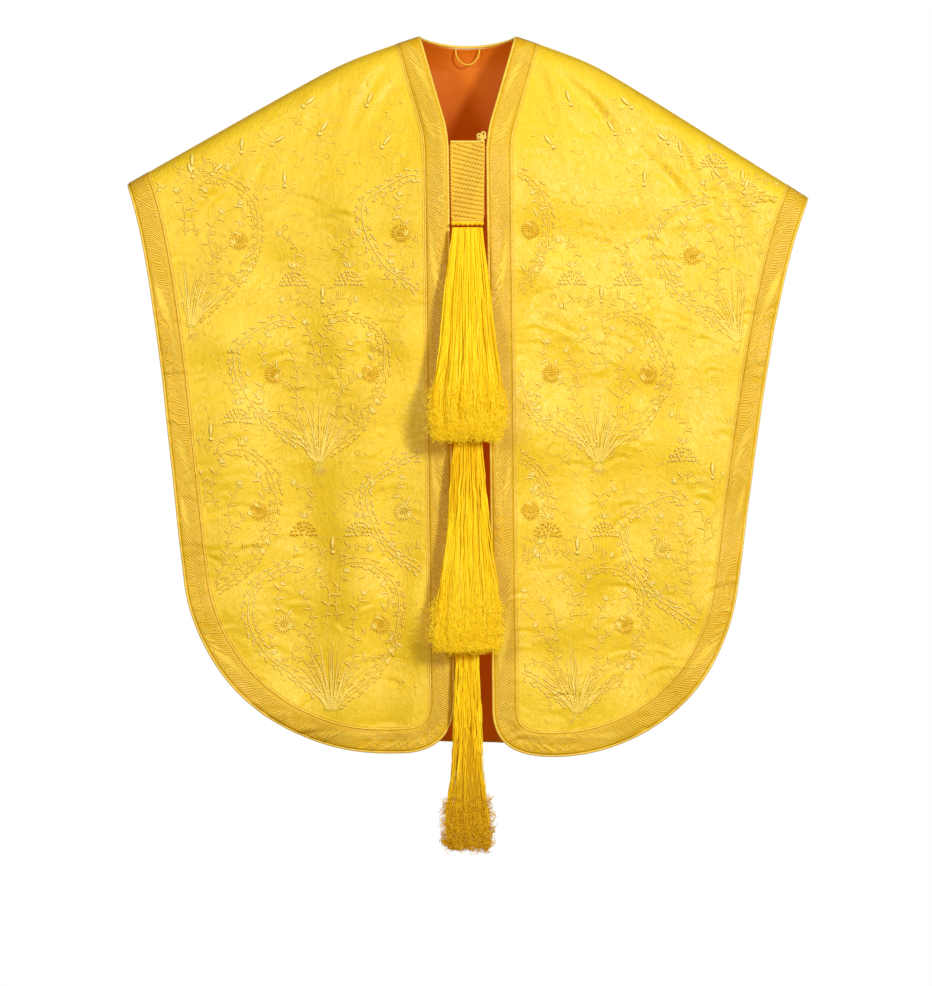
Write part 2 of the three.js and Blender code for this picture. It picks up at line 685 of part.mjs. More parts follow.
function tasselPieces(parent) {
  const reach = 24;
  const cordY = KNOT_Y + KNOT_R + 2;
  const cord = new THREE.CylinderGeometry(1.4, 1.4, 2 * reach, 10).rotateZ(Math.PI / 2);
  piece(parent, "tassel_header_cord", cord.translate(0, cordY, HEAD_Z), "piping");
  for (let k = 0; k < KNOT_COUNT; k++) {
    const x = (k - (KNOT_COUNT - 1) / 2) * KNOT_PITCH;
    const knot = new THREE.SphereGeometry(KNOT_R, 8, 6).translate(x, KNOT_Y, HEAD_Z);
    piece(parent, "header_knot_" + (k + 1), knot, "tassel");
  }
  for (const [name, sections] of Object.entries(TIERS)) piece(parent, name, oval(sections), "tassel");
}

const chasuble = new THREE.Group();
backPieces(chasuble);
frontPieces(chasuble, "left");
frontPieces(chasuble, "right");
closurePieces(chasuble);
tabPieces(chasuble);
tasselPieces(chasuble);

export default chasuble;
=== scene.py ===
"""A full-cut silk chasuble, open down the front, with a breast band and a three-tier tassel.

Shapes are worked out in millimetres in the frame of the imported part: +Z up, the front faces -Y,
and the origin is on the shoulder line at the middle of the neck. add_mesh() turns them to metres.
"""

import math

import bpy
import numpy as np
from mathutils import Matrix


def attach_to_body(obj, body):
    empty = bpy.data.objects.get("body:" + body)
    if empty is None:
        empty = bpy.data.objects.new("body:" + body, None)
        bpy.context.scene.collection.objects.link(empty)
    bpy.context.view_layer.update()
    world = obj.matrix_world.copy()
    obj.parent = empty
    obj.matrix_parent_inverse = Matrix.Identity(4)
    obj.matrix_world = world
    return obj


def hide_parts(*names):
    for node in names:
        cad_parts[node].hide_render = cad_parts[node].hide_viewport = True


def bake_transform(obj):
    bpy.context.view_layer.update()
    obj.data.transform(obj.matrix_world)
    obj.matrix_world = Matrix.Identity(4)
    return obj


MM = 0.001
# EDGE_UV: the across uv of each stitch at its edges, where the floss materials paint shade.
EDGE_UV = 4.0

# ---- Frame and camera ----

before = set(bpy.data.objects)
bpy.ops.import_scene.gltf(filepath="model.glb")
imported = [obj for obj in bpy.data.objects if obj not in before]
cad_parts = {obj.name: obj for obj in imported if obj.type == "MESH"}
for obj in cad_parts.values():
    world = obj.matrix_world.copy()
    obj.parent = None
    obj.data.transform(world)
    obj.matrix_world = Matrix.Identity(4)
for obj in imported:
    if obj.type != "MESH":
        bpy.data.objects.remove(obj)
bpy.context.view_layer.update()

camera = bpy.data.objects.new("camera", bpy.data.cameras.new("camera"))
bpy.context.scene.collection.objects.link(camera)
camera.location = (-0.0025, -6.65, -0.7565)
camera.rotation_euler = (math.radians(90), 0, 0)
camera.data.lens = 146.5
bpy.context.scene.camera = camera
bpy.context.scene.view_settings.view_transform = "Standard"

# ---- Dimensions, as in the CAD part ----

NECK_HALF = 78
V_FOOT = (36, -150)
V_BEND = (31.5, -172)
EDGE_TOP = (30, -196)
HEM_CORNER = 95
LEFT = {
    "name": "left",
    "sign": -1,
    "drop": 0.229,
    "edge_foot": (20, -1092),
    "hem_start": -1183,
    "hem_turn": [(115, -1183), (300, -1192), (440, -1070), (466, -905)],
    "flank": [(466, -905), (493, -680), (518, -350), (564, -246)],
}
RIGHT = {
    "name": "right",
    "sign": 1,
    "drop": 0.291,
    "edge_foot": (40, -1108),
    "hem_start": -1189,
    "hem_turn": [(135, -1189), (300, -1192), (425, -1075), (446, -905)],
    "flank": [(446, -905), (472, -700), (505, -400), (565, -269)],
}
BACK_HEM_RISE = 10
BACK_HEM_MIDDLE = -1176
NECK_SLOPE = 0.34
SHOULDER_X = 205
SHOULDER_ROUND = 40
MIDDLE_ROUND = 25
NECK_DIP = 10
FRONT = {"out": -1, "neck": 30, "arm": 44, "bulge": 80, "width": 205, "rise": 240, "fall": 0.16}
BACK = {"out": 1, "neck": 62, "arm": 44, "bulge": 50, "width": 230, "rise": 220, "fall": 0.1}
ROLL_SPAN = (60, 220)
ROLL = 40
SIDE_FLARE = 0.03
FOLD_HEIGHT = 9
FOLD_LENGTH = 190
SEAM_GAP = 1.2
EDGE_INSET = 5
BAND_WIDTH = 33
BAND_TOP = 2.3

CLOSURE_TOP = (-186, -103.1)
CLOSURE_FOOT = (-312, -110.3)
CLOSURE_HALF = (28.3, 26.2)
HEAD_Z = -318
KNOT_Y = -122
KNOT_R = 3.7
KNOT_COUNT = 7
KNOT_PITCH = 7.6

# Each tassel tier from top to bottom: height, half width, back, front. The back of the lower tier
# stands a little in front of the CAD's, clear of the borders that the tassel sways across.
UPPER_TIER = [
    (-325, 23, -126.6, -133),
    (-417, 35, -131, -146),
    (-496, 42, -135, -158),
    (-560, 52, -139, -172),
    (-614, 63, -141, -185),
    (-653, 58, -141, -182),
    (-673, 47, -142, -172),
]
MIDDLE_TIER = [
    (-325, 21, -119.6, -125.6),
    (-673, 22, -121, -139),
    (-757, 31, -121, -144),
    (-842, 37, -122, -150),
    (-939, 54, -123, -162),
    (-985, 58, -124, -166),
    (-1015, 46, -124, -156),
]
LOWER_TIER = [
    (-325, 19, -115.4, -118.6),
    (-1017, 19, -110.5, -122),
    (-1124, 23, -108, -123),
    (-1196, 26, -107, -126),
    (-1294, 40, -104, -137),
    (-1322, 36, -105, -135),
    (-1338, 28, -107, -130),
]


# ---- Draped cloth ----


def smooth(value, low, high):
    t = np.clip((value - low) / (high - low), 0, 1)
    return t * t * (3 - 2 * t)


def paired(a, b):
    """Two arrays of any matching shapes as one array of pairs."""
    return np.stack(np.broadcast_arrays(a, b), -1)


def heading(angle):
    """The flat direction at an angle from the x axis, for one angle or an array of them."""
    return np.stack([np.cos(angle), np.sin(angle)], -1)


def bearing(run):
    """The angle of a flat direction from the x axis."""
    return math.atan2(run[1], run[0])


def unit(vectors):
    return vectors / np.maximum(np.linalg.norm(vectors, axis=-1, keepdims=True), 1e-9)


def shoulder_height(x):
    near = np.hypot(x, MIDDLE_ROUND) - math.hypot(NECK_HALF, MIDDLE_ROUND)
    past = np.abs(x) - SHOULDER_X
    steeper = (past + np.hypot(past, SHOULDER_ROUND)) / 2
    return -NECK_SLOPE * near - np.where(x < 0, LEFT["drop"], RIGHT["drop"]) * steeper


def stand_out(x, z, face):
    """How far the smooth cloth stands in front of, or behind, the shoulder line."""
    depth = np.maximum(0, shoulder_height(x) - z)
    out = np.abs(x)
    roll = face["neck"] + (face["arm"] - face["neck"]) * smooth(out, *ROLL_SPAN)
    lap = 1 - np.minimum(1, depth / roll)
    bulge = face["bulge"] * np.exp(-((x / face["width"]) ** 2)) * smooth(depth, 0, face["rise"])
    fall = 1 - face["fall"] * smooth(depth, 330, 1170)
    flare = SIDE_FLARE * depth * smooth(out, 150, 500)
    fold = FOLD_HEIGHT * smooth(depth, 320, 1100) * smooth(out, 45, 170)
    wave = fold * np.cos(2 * np.pi * out / FOLD_LENGTH)
    gap = SEAM_GAP * smooth(depth, 0, 12)
    return gap + roll * np.sqrt(1 - lap * lap) + bulge * fall + flare + wave


# The grid of heights: its cell, its lowest x and z, and its count of cells along each.
CELL = 2.0
LOWEST = (-580, -1210)
CELLS = (580, 620)
WAVES = 14
PUCKERS = 620
CREASES = 230
SHOULDER_FOLDS = 46


class Relief:
    """Soft wrinkles and stitched-in puckers of one face, as heights on a fine grid over x and z."""

    def __init__(self, seed, calm):
        """calm is the share of the wrinkles that the stiff border down the middle keeps."""
        random = np.random.default_rng(seed)
        x = LOWEST[0] + CELL * np.arange(CELLS[0] + 1)
        z = LOWEST[1] + CELL * np.arange(CELLS[1] + 1)
        self.x, self.z = np.meshgrid(x, z, indexing="ij")
        depth = shoulder_height(self.x) - self.z
        self.height = np.zeros_like(self.x)
        for _ in range(WAVES):
            length = random.uniform(90, 240)
            turn = random.uniform(-0.5, 0.5) + random.choice([0, math.pi / 2], p=[0.65, 0.35])
            along = self.x * math.cos(turn) + self.z * math.sin(turn)
            size = 0.009 * length * smooth(depth, 60, 300)
            bend = 0.8 * np.sin(self.z / random.uniform(90, 200) + random.uniform(0, 6))
            self.height += size * np.sin(2 * math.pi * along / length + bend + random.uniform(0, 6))
        for _ in range(PUCKERS):
            self.pucker(
                centre=(random.uniform(-560, 560), random.uniform(-1200, -40)),
                turn=random.normal(0, 0.3) + random.choice([0, math.pi / 2.4], p=[0.7, 0.3]),
                length=random.uniform(9, 24),
                width=random.uniform(3.6, 6.5),
                height=random.uniform(0.35, 0.95) * random.choice([-1, 1]),
            )
        for _ in range(CREASES):
            self.pucker(
                centre=(random.uniform(-550, 550), random.uniform(-1180, -120)),
                turn=random.normal(0, 0.28),
                length=random.uniform(8, 19),
                width=random.uniform(2.9, 4.2),
                height=random.uniform(0.9, 2.0) * random.choice([-1, 1]),
            )
        for _ in range(SHOULDER_FOLDS):
            hand = random.choice([-1, 1])
            x = hand * random.uniform(120, 470)
            self.pucker(
                centre=(x, float(shoulder_height(np.array(x))) - random.uniform(35, 120)),
                turn=hand * random.uniform(-1.25, -0.75),
                length=random.uniform(30, 60),
                width=random.uniform(6, 11),
                height=random.uniform(0.8, 1.9),
            )
        self.height *= smooth(depth, 8, 45)
        self.height *= calm + (1 - calm) * smooth(np.abs(self.x), 45, 95)

    def pucker(self, centre, turn, length, width, height):
        """A low ridge beside a shallow valley, at an angle to the horizontal."""
        reach = int(2.6 * max(length, width) / CELL) + 1
        i = int((centre[0] - LOWEST[0]) / CELL)
        j = int((centre[1] - LOWEST[1]) / CELL)
        patch = (
            slice(max(0, i - reach), max(0, i + reach)),
            slice(max(0, j - reach), max(0, j + reach)),
        )
        x = self.x[patch] - centre[0]
        z = self.z[patch] - centre[1]
        along = (x * math.cos(turn) + z * math.sin(turn)) / length
        across = (z * math.cos(turn) - x * math.sin(turn)) / width + 0.6 * along**2
        self.height[patch] += 1.6 * height * across * np.exp(-(along**2 + across**2) / 2)

    def at(self, x, z):
        i = np.clip((x - LOWEST[0]) / CELL, 0, CELLS[0] - 0.001)
        j = np.clip((z - LOWEST[1]) / CELL, 0, CELLS[1] - 0.001)
        a = i.astype(int)
        b = j.astype(int)
        u = i - a
        v = j - b
        h = self.height
        near = h[a, b] * (1 - v) + h[a, b + 1] * v
        far = h[a + 1, b] * (1 - v) + h[a + 1, b + 1] * v
        return near * (1 - u) + far * u


FRONT["relief"] = Relief(11, 0.2)
BACK["relief"] = Relief(12, 1.0)


def on_cloth(x, z, face, lift):
    """Points at a distance from the middle of the silk, measured outward along its direction."""
    x = np.asarray(x, float)
    z = np.minimum(z, shoulder_height(x))
    low = np.minimum(z, shoulder_height(x) - 0.5)
    step = 1.5
    relief = face["relief"].at

    across = (stand_out(x + 0.05, low, face) - stand_out(x - 0.05, low, face)) / 0.1
    down = (stand_out(x, low + 0.05, face) - stand_out(x, low - 0.05, face)) / 0.1
    across += (relief(x + step, z) - relief(x - step, z)) / (2 * step)
    down += (relief(x, z + step) - relief(x, z - step)) / (2 * step)
    out = np.full_like(across, face["out"])
    normal = unit(np.stack([-across, out, -down], -1))
    height = stand_out(x, z, face) + relief(x, z)
    place = np.stack([x, face["out"] * height, z], -1)
    return place + normal * np.expand_dims(np.broadcast_to(lift, x.shape), -1)


# ---- Outlines ----


def bezier(points, steps=160):
    t = np.linspace(0, 1, steps)[:, None]
    row = [np.array(p, float) for p in points]
    while len(row) > 1:
        row = [a + (b - a) * t for a, b in zip(row, row[1:])]
    return row[0]


class Outline:
    """The free edge of one half, from the neck, or the middle of the back's hem, to the sleeve."""

    def __init__(self, side, face):
        self.side = side
        self.face = face
        rise = BACK_HEM_RISE if face is BACK else 0
        turn = [(x, z + rise if k < 3 else z) for k, (x, z) in enumerate(side["hem_turn"])]
        if face is FRONT:
            foot = side["edge_foot"]
            hem_z = side["hem_start"]
            corner = [foot, (foot[0], hem_z), (foot[0] + HEM_CORNER, hem_z)]
            parts = [[(NECK_HALF, 0), V_FOOT], [V_FOOT, V_BEND, EDGE_TOP], [EDGE_TOP, foot]]
            parts += [corner]
        else:
            out, level = turn[0]
            middle = BACK_HEM_MIDDLE
            parts = [[(0, middle), (out / 2, middle), (out / 2, level), (out, level)]]
        parts += [turn, side["flank"]]
        runs = [bezier(part) for part in parts]
        points = np.concatenate([runs[0]] + [run[1:] for run in runs[1:]])
        self.points = points
        self.lengths = np.append(0, np.cumsum(np.linalg.norm(np.diff(points, axis=0), axis=1)))
        self.tangents = unit(np.gradient(points, self.lengths, axis=0))
        self.total = self.lengths[-1]
        run = len(runs[0]) - 1
        self.inner = self.lengths[int(3.5 * run)] if face is FRONT else 0
        self.outer = self.lengths[int((len(parts) - 1.5) * run)]

    def at(self, length, inset):
        """Where a length along the outline lies, at a distance in from it, as x out and z."""
        inside = np.clip(length, 0, self.total)
        x, z = (np.interp(inside, self.lengths, self.points[:, k]) for k in (0, 1))
        run_x, run_z = (np.interp(inside, self.lengths, self.tangents[:, k]) for k in (0, 1))
        past = length - inside
        return x + past * run_x - inset * run_z, z + past * run_z + inset * run_x

    def end(self, inset, sleeve):
        """The length at which the line at this inset meets the shoulder line."""
        tries = np.linspace(-60, 60, 121)
        lengths = self.total + tries if sleeve else -tries
        x, z = self.at(lengths, inset)
        return float(np.interp(0, z - shoulder_height(x * self.side["sign"]), lengths))

    def ends(self, inset):
        start = self.end(inset, False) if self.face is FRONT else 0.0
        return start, self.end(inset, True)


OUTLINES = {
    (side["name"], face["out"]): Outline(side, face) for side in (LEFT, RIGHT) for face in (FRONT, BACK)
}


def roll_depth(run):
    """Depth below the shoulder line after a run of cloth over the shoulder."""
    quarter = ROLL * math.pi / 2
    return np.where(run < quarter, ROLL * (1 - np.cos(run / ROLL)), ROLL + run - quarter)


def half_panel(outline, inset, cell):
    """Signed x and z over one half of the front or back, as columns outwards and rows down."""
    side = outline.side
    front = outline.face is FRONT
    start, stop = outline.ends(inset)
    tip = float(outline.at(stop, inset)[0])
    neck = float(outline.at(start, inset)[0]) if front else NECK_HALF + inset
    low = neck if front else 0.0
    if front:
        x = np.linspace(low, tip, round((tip - low) / cell) + 1)
    else:
        inner = np.linspace(0, neck, round(neck / cell) + 1)
        x = np.append(inner[:-1], np.linspace(neck, tip, round((tip - neck) / cell) + 1))
    u = ((x - low) / (tip - low))[:, None]
    dip = np.where(x < neck, (NECK_DIP + inset) * (1 - (x / neck) ** 2), 0)
    top_z = np.where(x < neck, -dip - 0.02 * x, shoulder_height(x * side["sign"]))
    if not front:
        edge_z = float(shoulder_height(np.array(neck * side["sign"])))
        top_z = np.where(x < neck, -dip + edge_z * (x / neck) ** 2, top_z)
    spare = ROLL * math.pi / 2 - ROLL
    hem_start = outline.inner if front else 0
    middle_low = float(outline.at(0, inset)[1])
    left_run = (hem_start - start if front else top_z[0] - middle_low) + spare
    right_run = stop - outline.outer + spare
    rows = round(max(left_run, right_run) / cell)
    t = np.linspace(0, 1, rows + 1)[None, :]
    v = roll_depth(t * left_run) / roll_depth(left_run)
    if front:
        left = outline.at(start + roll_depth(t * left_run), inset)
    else:
        left = (0 * t, top_z[0] - roll_depth(t * left_run))
    right = outline.at(stop - roll_depth(t * right_run), inset)
    foot = outline.at(hem_start + (outline.outer - hem_start) * u, inset)
    grid = []
    for k, top in ((0, x), (1, top_z)):
        top = top[:, None]
        edges = (1 - v) * top + v * foot[k] + (1 - u) * left[k] + u * right[k]
        flat_top = (1 - u) * top[0] + u * top[-1]
        flat_foot = (1 - u) * foot[k][0] + u * foot[k][-1]
        grid.append(edges - (1 - v) * flat_top - v * flat_foot)
    return grid[0] * side["sign"], grid[1]


def whole_back(inset, cell):
    """Both halves of the back as one grid, from left to right."""
    left_x, left_z = half_panel(OUTLINES["left", 1], inset, cell)
    right_x, right_z = half_panel(OUTLINES["right", 1], inset, cell)
    rows = min(left_x.shape[1], right_x.shape[1])
    picks = [np.linspace(0, g.shape[1] - 1, rows) for g in (left_x, right_x)]

    def evened(grid, pick):
        base = np.minimum(pick.astype(int), grid.shape[1] - 2)
        share = pick - base
        return grid[:, base] * (1 - share) + grid[:, base + 1] * share

    left = [evened(g, picks[0])[:0:-1] for g in (left_x, left_z)]
    right = [evened(g, picks[1]) for g in (right_x, right_z)]
    return np.concatenate([left[0], right[0]]), np.concatenate([left[1], right[1]])


# ---- Meshes ----


def add_mesh(name, points, quads, material, uv):
    """A mesh object from points in millimetres, quads of point numbers, and a uv for each point."""
    mesh = bpy.data.meshes.new(name)
    flat = np.ascontiguousarray(quads, np.int32).ravel()
    mesh.vertices.add(len(points))
    mesh.vertices.foreach_set("co", (points * MM).astype(np.float32).ravel())
    mesh.loops.add(len(flat))
    mesh.loops.foreach_set("vertex_index", flat)
    mesh.polygons.add(len(quads))
    mesh.polygons.foreach_set("loop_start", np.arange(0, len(flat), 4, dtype=np.int32))
    mesh.polygons.foreach_set("use_smooth", np.ones(len(quads), bool))
    layer = mesh.uv_layers.new(name="cloth")
    layer.data.foreach_set("uv", (uv[flat] * MM).astype(np.float32).ravel())
    mesh.update(calc_edges=True)
    mesh.validate()
    mesh.materials.append(material)
    made = bpy.data.objects.new(name, mesh)
    bpy.context.scene.collection.objects.link(made)
    return made


def grid_quads(columns, rows, closed=False):
    """Quads of a grid of points in column order; closed joins the last row to the first."""
    i = np.arange(columns - 1)[:, None]
    j = np.arange(rows if closed else rows - 1)[None, :]
    after = (j + 1) % rows
    corners = [i * rows + j, (i + 1) * rows + j, (i + 1) * rows + after, i * rows + after]
    return np.stack(np.broadcast_arrays(*corners), -1).reshape(-1, 4)


def run_lengths(points):
    """Distance along each column of a grid of points."""
    steps = np.linalg.norm(np.diff(points, axis=1), axis=-1)
    return np.concatenate([np.zeros((len(points), 1)), np.cumsum(steps, axis=1)], axis=1)


def shell(name, outer, inner, material, uv):
    """A closed sheet between two grids of points, with a uv for each place of the grid."""
    columns, rows = outer.shape[:2]
    count = columns * rows
    top = grid_quads(columns, rows)
    a, b, _, d = outer.reshape(-1, 3)[top[len(top) // 2]]
    away = (outer - inner).reshape(-1, 3)[top[len(top) // 2][0]]
    turned = np.dot(np.cross(b - a, d - a), away) < 0
    if turned:
        top = top[:, ::-1]
    index = np.arange(count).reshape(columns, rows)
    rim = np.concatenate([index[:-1, 0], index[-1, :-1], index[:0:-1, -1], index[0, :0:-1]])
    after = np.roll(rim, -1)
    walls = np.stack([rim, rim + count, after + count, after], -1)
    if turned:
        walls = walls[:, ::-1]
    quads = np.concatenate([top, top[:, ::-1] + count, walls])
    points = np.concatenate([outer.reshape(-1, 3), inner.reshape(-1, 3)])
    flat = uv.reshape(-1, 2)
    return add_mesh(name, points, quads, material, np.concatenate([flat, flat]))


def tubes(name, paths, radius, sides, material, spin=None):
    """Round threads along paths, an array of threads by points, with a radius for each point."""
    count, steps = paths.shape[:2]
    run = unit(np.gradient(paths, axis=1))
    side = unit(np.cross(run, np.array([0.05, 1.0, 0.13])))
    other = np.cross(side, run)
    turn = 2 * np.pi * np.arange(sides) / sides
    ring = side[..., None, :] * np.cos(turn)[:, None] + other[..., None, :] * np.sin(turn)[:, None]
    radius = np.broadcast_to(radius, (count, steps))
    points = paths[..., None, :] + ring * radius[..., None, None]
    first = np.arange(count)[:, None, None] * steps * sides
    quads = (first + grid_quads(steps, sides, closed=True)[None]).reshape(-1, 4)
    along = np.broadcast_to(run_lengths(paths)[..., None], (count, steps, sides))
    if spin is None:
        around = np.broadcast_to(np.abs(turn - np.pi) * radius.max(), along.shape)
    else:
        around = np.broadcast_to(spin[:, None, None], along.shape)
    uv = np.stack([along, around], -1).reshape(-1, 2)
    return add_mesh(name, points.reshape(-1, 3), quads, material, uv)


# ---- Materials ----


def srgb(red, green, blue):
    """A screen colour, 0 to 255 in each channel, as the linear colour that a shader takes."""

    def linear(v):
        v /= 255
        return v / 12.92 if v <= 0.04045 else ((v + 0.055) / 1.055) ** 2.4

    return (linear(red), linear(green), linear(blue), 1)


class Shader:
    """A node material: node() adds a node with its settings, inputs and links."""

    def __init__(self, name, roughness, sheen=0.0, specular=0.5, metallic=0.0, sheen_tint=(1, 1, 1, 1)):
        self.material = bpy.data.materials.new(name)
        self.material.use_nodes = True
        self.tree = self.material.node_tree
        self.surface = self.tree.nodes["Principled BSDF"]
        self.surface.inputs["Roughness"].default_value = roughness
        self.surface.inputs["Sheen Weight"].default_value = sheen
        self.surface.inputs["Sheen Roughness"].default_value = 0.4
        self.surface.inputs["Sheen Tint"].default_value = sheen_tint
        self.surface.inputs["Specular IOR Level"].default_value = specular
        self.surface.inputs["Metallic"].default_value = metallic

    def node(self, kind, settings=None, **inputs):
        made = self.tree.nodes.new(kind)
        for key, value in (settings or {}).items():
            setattr(made, key, value)
        for key, value in inputs.items():
            self.give(made, key, value)
        return made

    def give(self, node, key, value):
        """Sets an input, named or numbered, to a value or to another node's output."""
        socket = node.inputs[int(key[1:])] if key[0] == "i" and key[1:].isdigit() else node.inputs[key]
        if isinstance(value, bpy.types.NodeSocket):
            self.tree.links.new(value, socket)
        else:
            socket.default_value = value

    def cloth(self, scale):
        """Coordinates on the cloth in metres, scaled along each axis."""
        uv = self.node("ShaderNodeUVMap", {"uv_map": "cloth"})
        return self.node("ShaderNodeMapping", Vector=uv.outputs["UV"], Scale=scale).outputs[0]

    def noise(self, where, scale, detail=2.0, rough=0.5, distortion=0.0):
        made = self.node("ShaderNodeTexNoise", Vector=where, Scale=scale, Detail=detail)
        self.give(made, "Roughness", rough)
        self.give(made, "Distortion", distortion)
        return made.outputs["Fac"]

    def lines(self, where, scale, distortion, axis="X"):
        made = self.node(
            "ShaderNodeTexWave",
            {"wave_type": "BANDS", "bands_direction": axis},
            Vector=where,
            Scale=scale,
            Distortion=distortion,
            Detail=1.5,
        )
        return made.outputs["Fac"]

    def math(self, operation, a, b):
        return self.node("ShaderNodeMath", {"operation": operation}, i0=a, i1=b).outputs[0]

    def weigh(self, *parts):
        """The sum of factors, each times its share."""
        total = self.math("MULTIPLY", *parts[0])
        for part in parts[1:]:
            total = self.math("ADD", total, self.math("MULTIPLY", *part))
        return total

    def glow(self, colour, strength):
        """A painted glow: a little light of the material's own, which stands in for light that comes
        through thin silk.
        """
        self.surface.inputs["Emission Color"].default_value = colour
        self.surface.inputs["Emission Strength"].default_value = strength

    def ramp(self, factor, stops):
        made = self.node("ShaderNodeValToRGB", Fac=factor)
        elements = made.color_ramp.elements
        while len(elements) < len(stops):
            elements.new(0.5)
        for element, (place, colour) in zip(elements, stops):
            element.position = place
            element.color = colour
        return made.outputs["Color"]

    def mix(self, factor, a, b, blend="MIX"):
        made = self.node("ShaderNodeMix", {"data_type": "RGBA", "blend_type": blend}, i0=factor)
        self.give(made, "i6", a)
        self.give(made, "i7", b)
        return made.outputs[2]

    def bump(self, height, distance, strength=1.0, under=None):
        made = self.node("ShaderNodeBump", Height=height, Distance=distance, Strength=strength)
        if under is not None:
            self.give(made, "Normal", under)
        return made.outputs["Normal"]

    def finish(self, colour, normal, roughness=None):
        self.give(self.surface, "Base Color", colour)
        self.give(self.surface, "Normal", normal)
        if roughness is not None:
            self.give(self.surface, "Roughness", roughness)
        return self.material


def silk_material(name, dark, mid, pale, crinkle):
    """Satin with fine warp lines, slubs, a slow drift of tone and small stitched-in crinkles."""
    s = Shader(name, 0.44, sheen=0.14, specular=0.38, sheen_tint=(1, 0.85, 0.4, 1))
    plain = s.cloth((1, 1, 1))
    drift = s.noise(plain, 7, detail=4, rough=0.6)
    warp = s.noise(s.cloth((1100, 26, 1)), 1, detail=1)
    crumple = s.noise(s.cloth((1, 0.8, 1)), 95, detail=3, rough=0.55, distortion=1.6)
    tone = s.weigh((drift, 0.4), (warp, 0.35), (crumple, 0.25))
    colour = s.ramp(tone, [(0.3, dark), (0.5, mid), (0.72, pale)])
    ridges = s.bump(crumple, crinkle)
    threads = s.bump(warp, 0.00006, 0.5, ridges)
    gloss = s.ramp(crumple, [(0.2, (0.5, 0.5, 0.5, 1)), (0.8, (0.34, 0.34, 0.34, 1))])
    return s.finish(colour, threads, gloss)


def thread_material(name, dark, mid, pale):
    """Floss laid side by side: fine lines along each stitched shape, sunk at its edges, with painted
    shade that darkens the edges where the floss meets the cloth.
    """
    s = Shader(name, 0.36, sheen=0.15, specular=0.5, sheen_tint=(1, 0.85, 0.4, 1))
    tone = s.noise(s.cloth((1, 1, 1)), 60, detail=3)
    floss = s.lines(s.cloth((1, 0.35, 1)), 520, 1.2)
    colour = s.ramp(s.weigh((tone, 0.7), (floss, 0.3)), [(0.3, mid), (0.7, pale)])
    # Painted shade: towards the edges of each stitch the floss turns to its dark colour.
    across = s.node("ShaderNodeSeparateXYZ", i0=s.cloth((1, 1 / (EDGE_UV * MM), 1))).outputs[1]
    edge = s.ramp(s.math("ABSOLUTE", across, 0.0), [(0.45, (0, 0, 0, 1)), (0.95, (1, 1, 1, 1))])
    return s.finish(s.mix(edge, colour, dark), s.bump(floss, 0.00009, 0.7))


def cord_material(name, dark, mid, pale, pitch):
    """Twisted cord: slanting plies along each tube."""
    s = Shader(name, 0.5, sheen=0.3, specular=0.4, sheen_tint=(1, 0.9, 0.6, 1))
    ply = s.lines(s.cloth((1, 0.7, 1)), pitch, 0.4, "DIAGONAL")
    tone = s.noise(s.cloth((1, 1, 1)), 90, detail=2)
    worn = s.weigh((tone, 0.5), (ply, 0.5))
    colour = s.ramp(worn, [(0.2, dark), (0.5, mid), (0.8, pale)])
    return s.finish(colour, s.bump(ply, 0.00012))


def tassel_material(name, dark, mid, pale, light):
    """Loose silk yarn: each strand has its own tone, and a painted glow stands in for the light that
    comes through the fluff.
    """
    s = Shader(name, 0.6, sheen=0.25, specular=0.15, sheen_tint=(1, 0.8, 0.2, 1))
    # Painted glow: the yarn gives off a little light of its own mid colour.
    s.glow(mid, light)
    strand = s.noise(s.cloth((2, 9000, 1)), 1, detail=1)
    fibre = s.noise(s.cloth((900, 9000, 1)), 1, detail=2)
    tone = s.weigh((strand, 0.75), (fibre, 0.25))
    colour = s.ramp(tone, [(0.3, dark), (0.48, mid), (0.66, pale)])
    return s.finish(colour, s.bump(fibre, 0.00003, 0.5))


def lining_material():
    """Warm brown twill lining, with a painted glow that stands in for light coming through the silk."""
    s = Shader("lining", 0.5, sheen=0.15, specular=0.35, sheen_tint=(1, 0.8, 0.5, 1))
    # Painted glow: the lining gives off a little warm light of its own.
    s.glow(srgb(214, 96, 4), 0.2)
    drift = s.noise(s.cloth((1, 1, 1)), 9, detail=5, rough=0.6)
    twill = s.lines(s.cloth((1, 1, 1)), 330, 0.5, "DIAGONAL")
    tone = s.weigh((drift, 0.8), (twill, 0.2))
    stops = [(0.3, srgb(176, 88, 6)), (0.5, srgb(198, 104, 10)), (0.7, srgb(212, 122, 20))]
    return s.finish(s.ramp(tone, stops), s.bump(twill, 0.00008, 0.6))


def metal_material():
    """Worn brass press fasteners."""
    s = Shader("press fastener", 0.32, metallic=0.95)
    where = s.node("ShaderNodeTexCoord").outputs["Object"]
    wear = s.noise(where, 700, detail=4)
    colour = s.ramp(wear, [(0.35, srgb(150, 112, 50)), (0.6, srgb(206, 170, 92))])
    return s.finish(colour, s.bump(wear, 0.00015, 0.5))


def tones(*colours):
    return [srgb(*colour) for colour in colours]


SILK = silk_material("silk", *tones((228, 191, 28), (241, 209, 40), (249, 223, 68)), 0.0017)
BORDER = silk_material("border silk", *tones((206, 157, 14), (230, 186, 26), (243, 205, 44)), 0.001)
BAND_SILK = silk_material("band silk", *tones((216, 166, 24), (234, 188, 36), (243, 204, 56)), 0.0005)
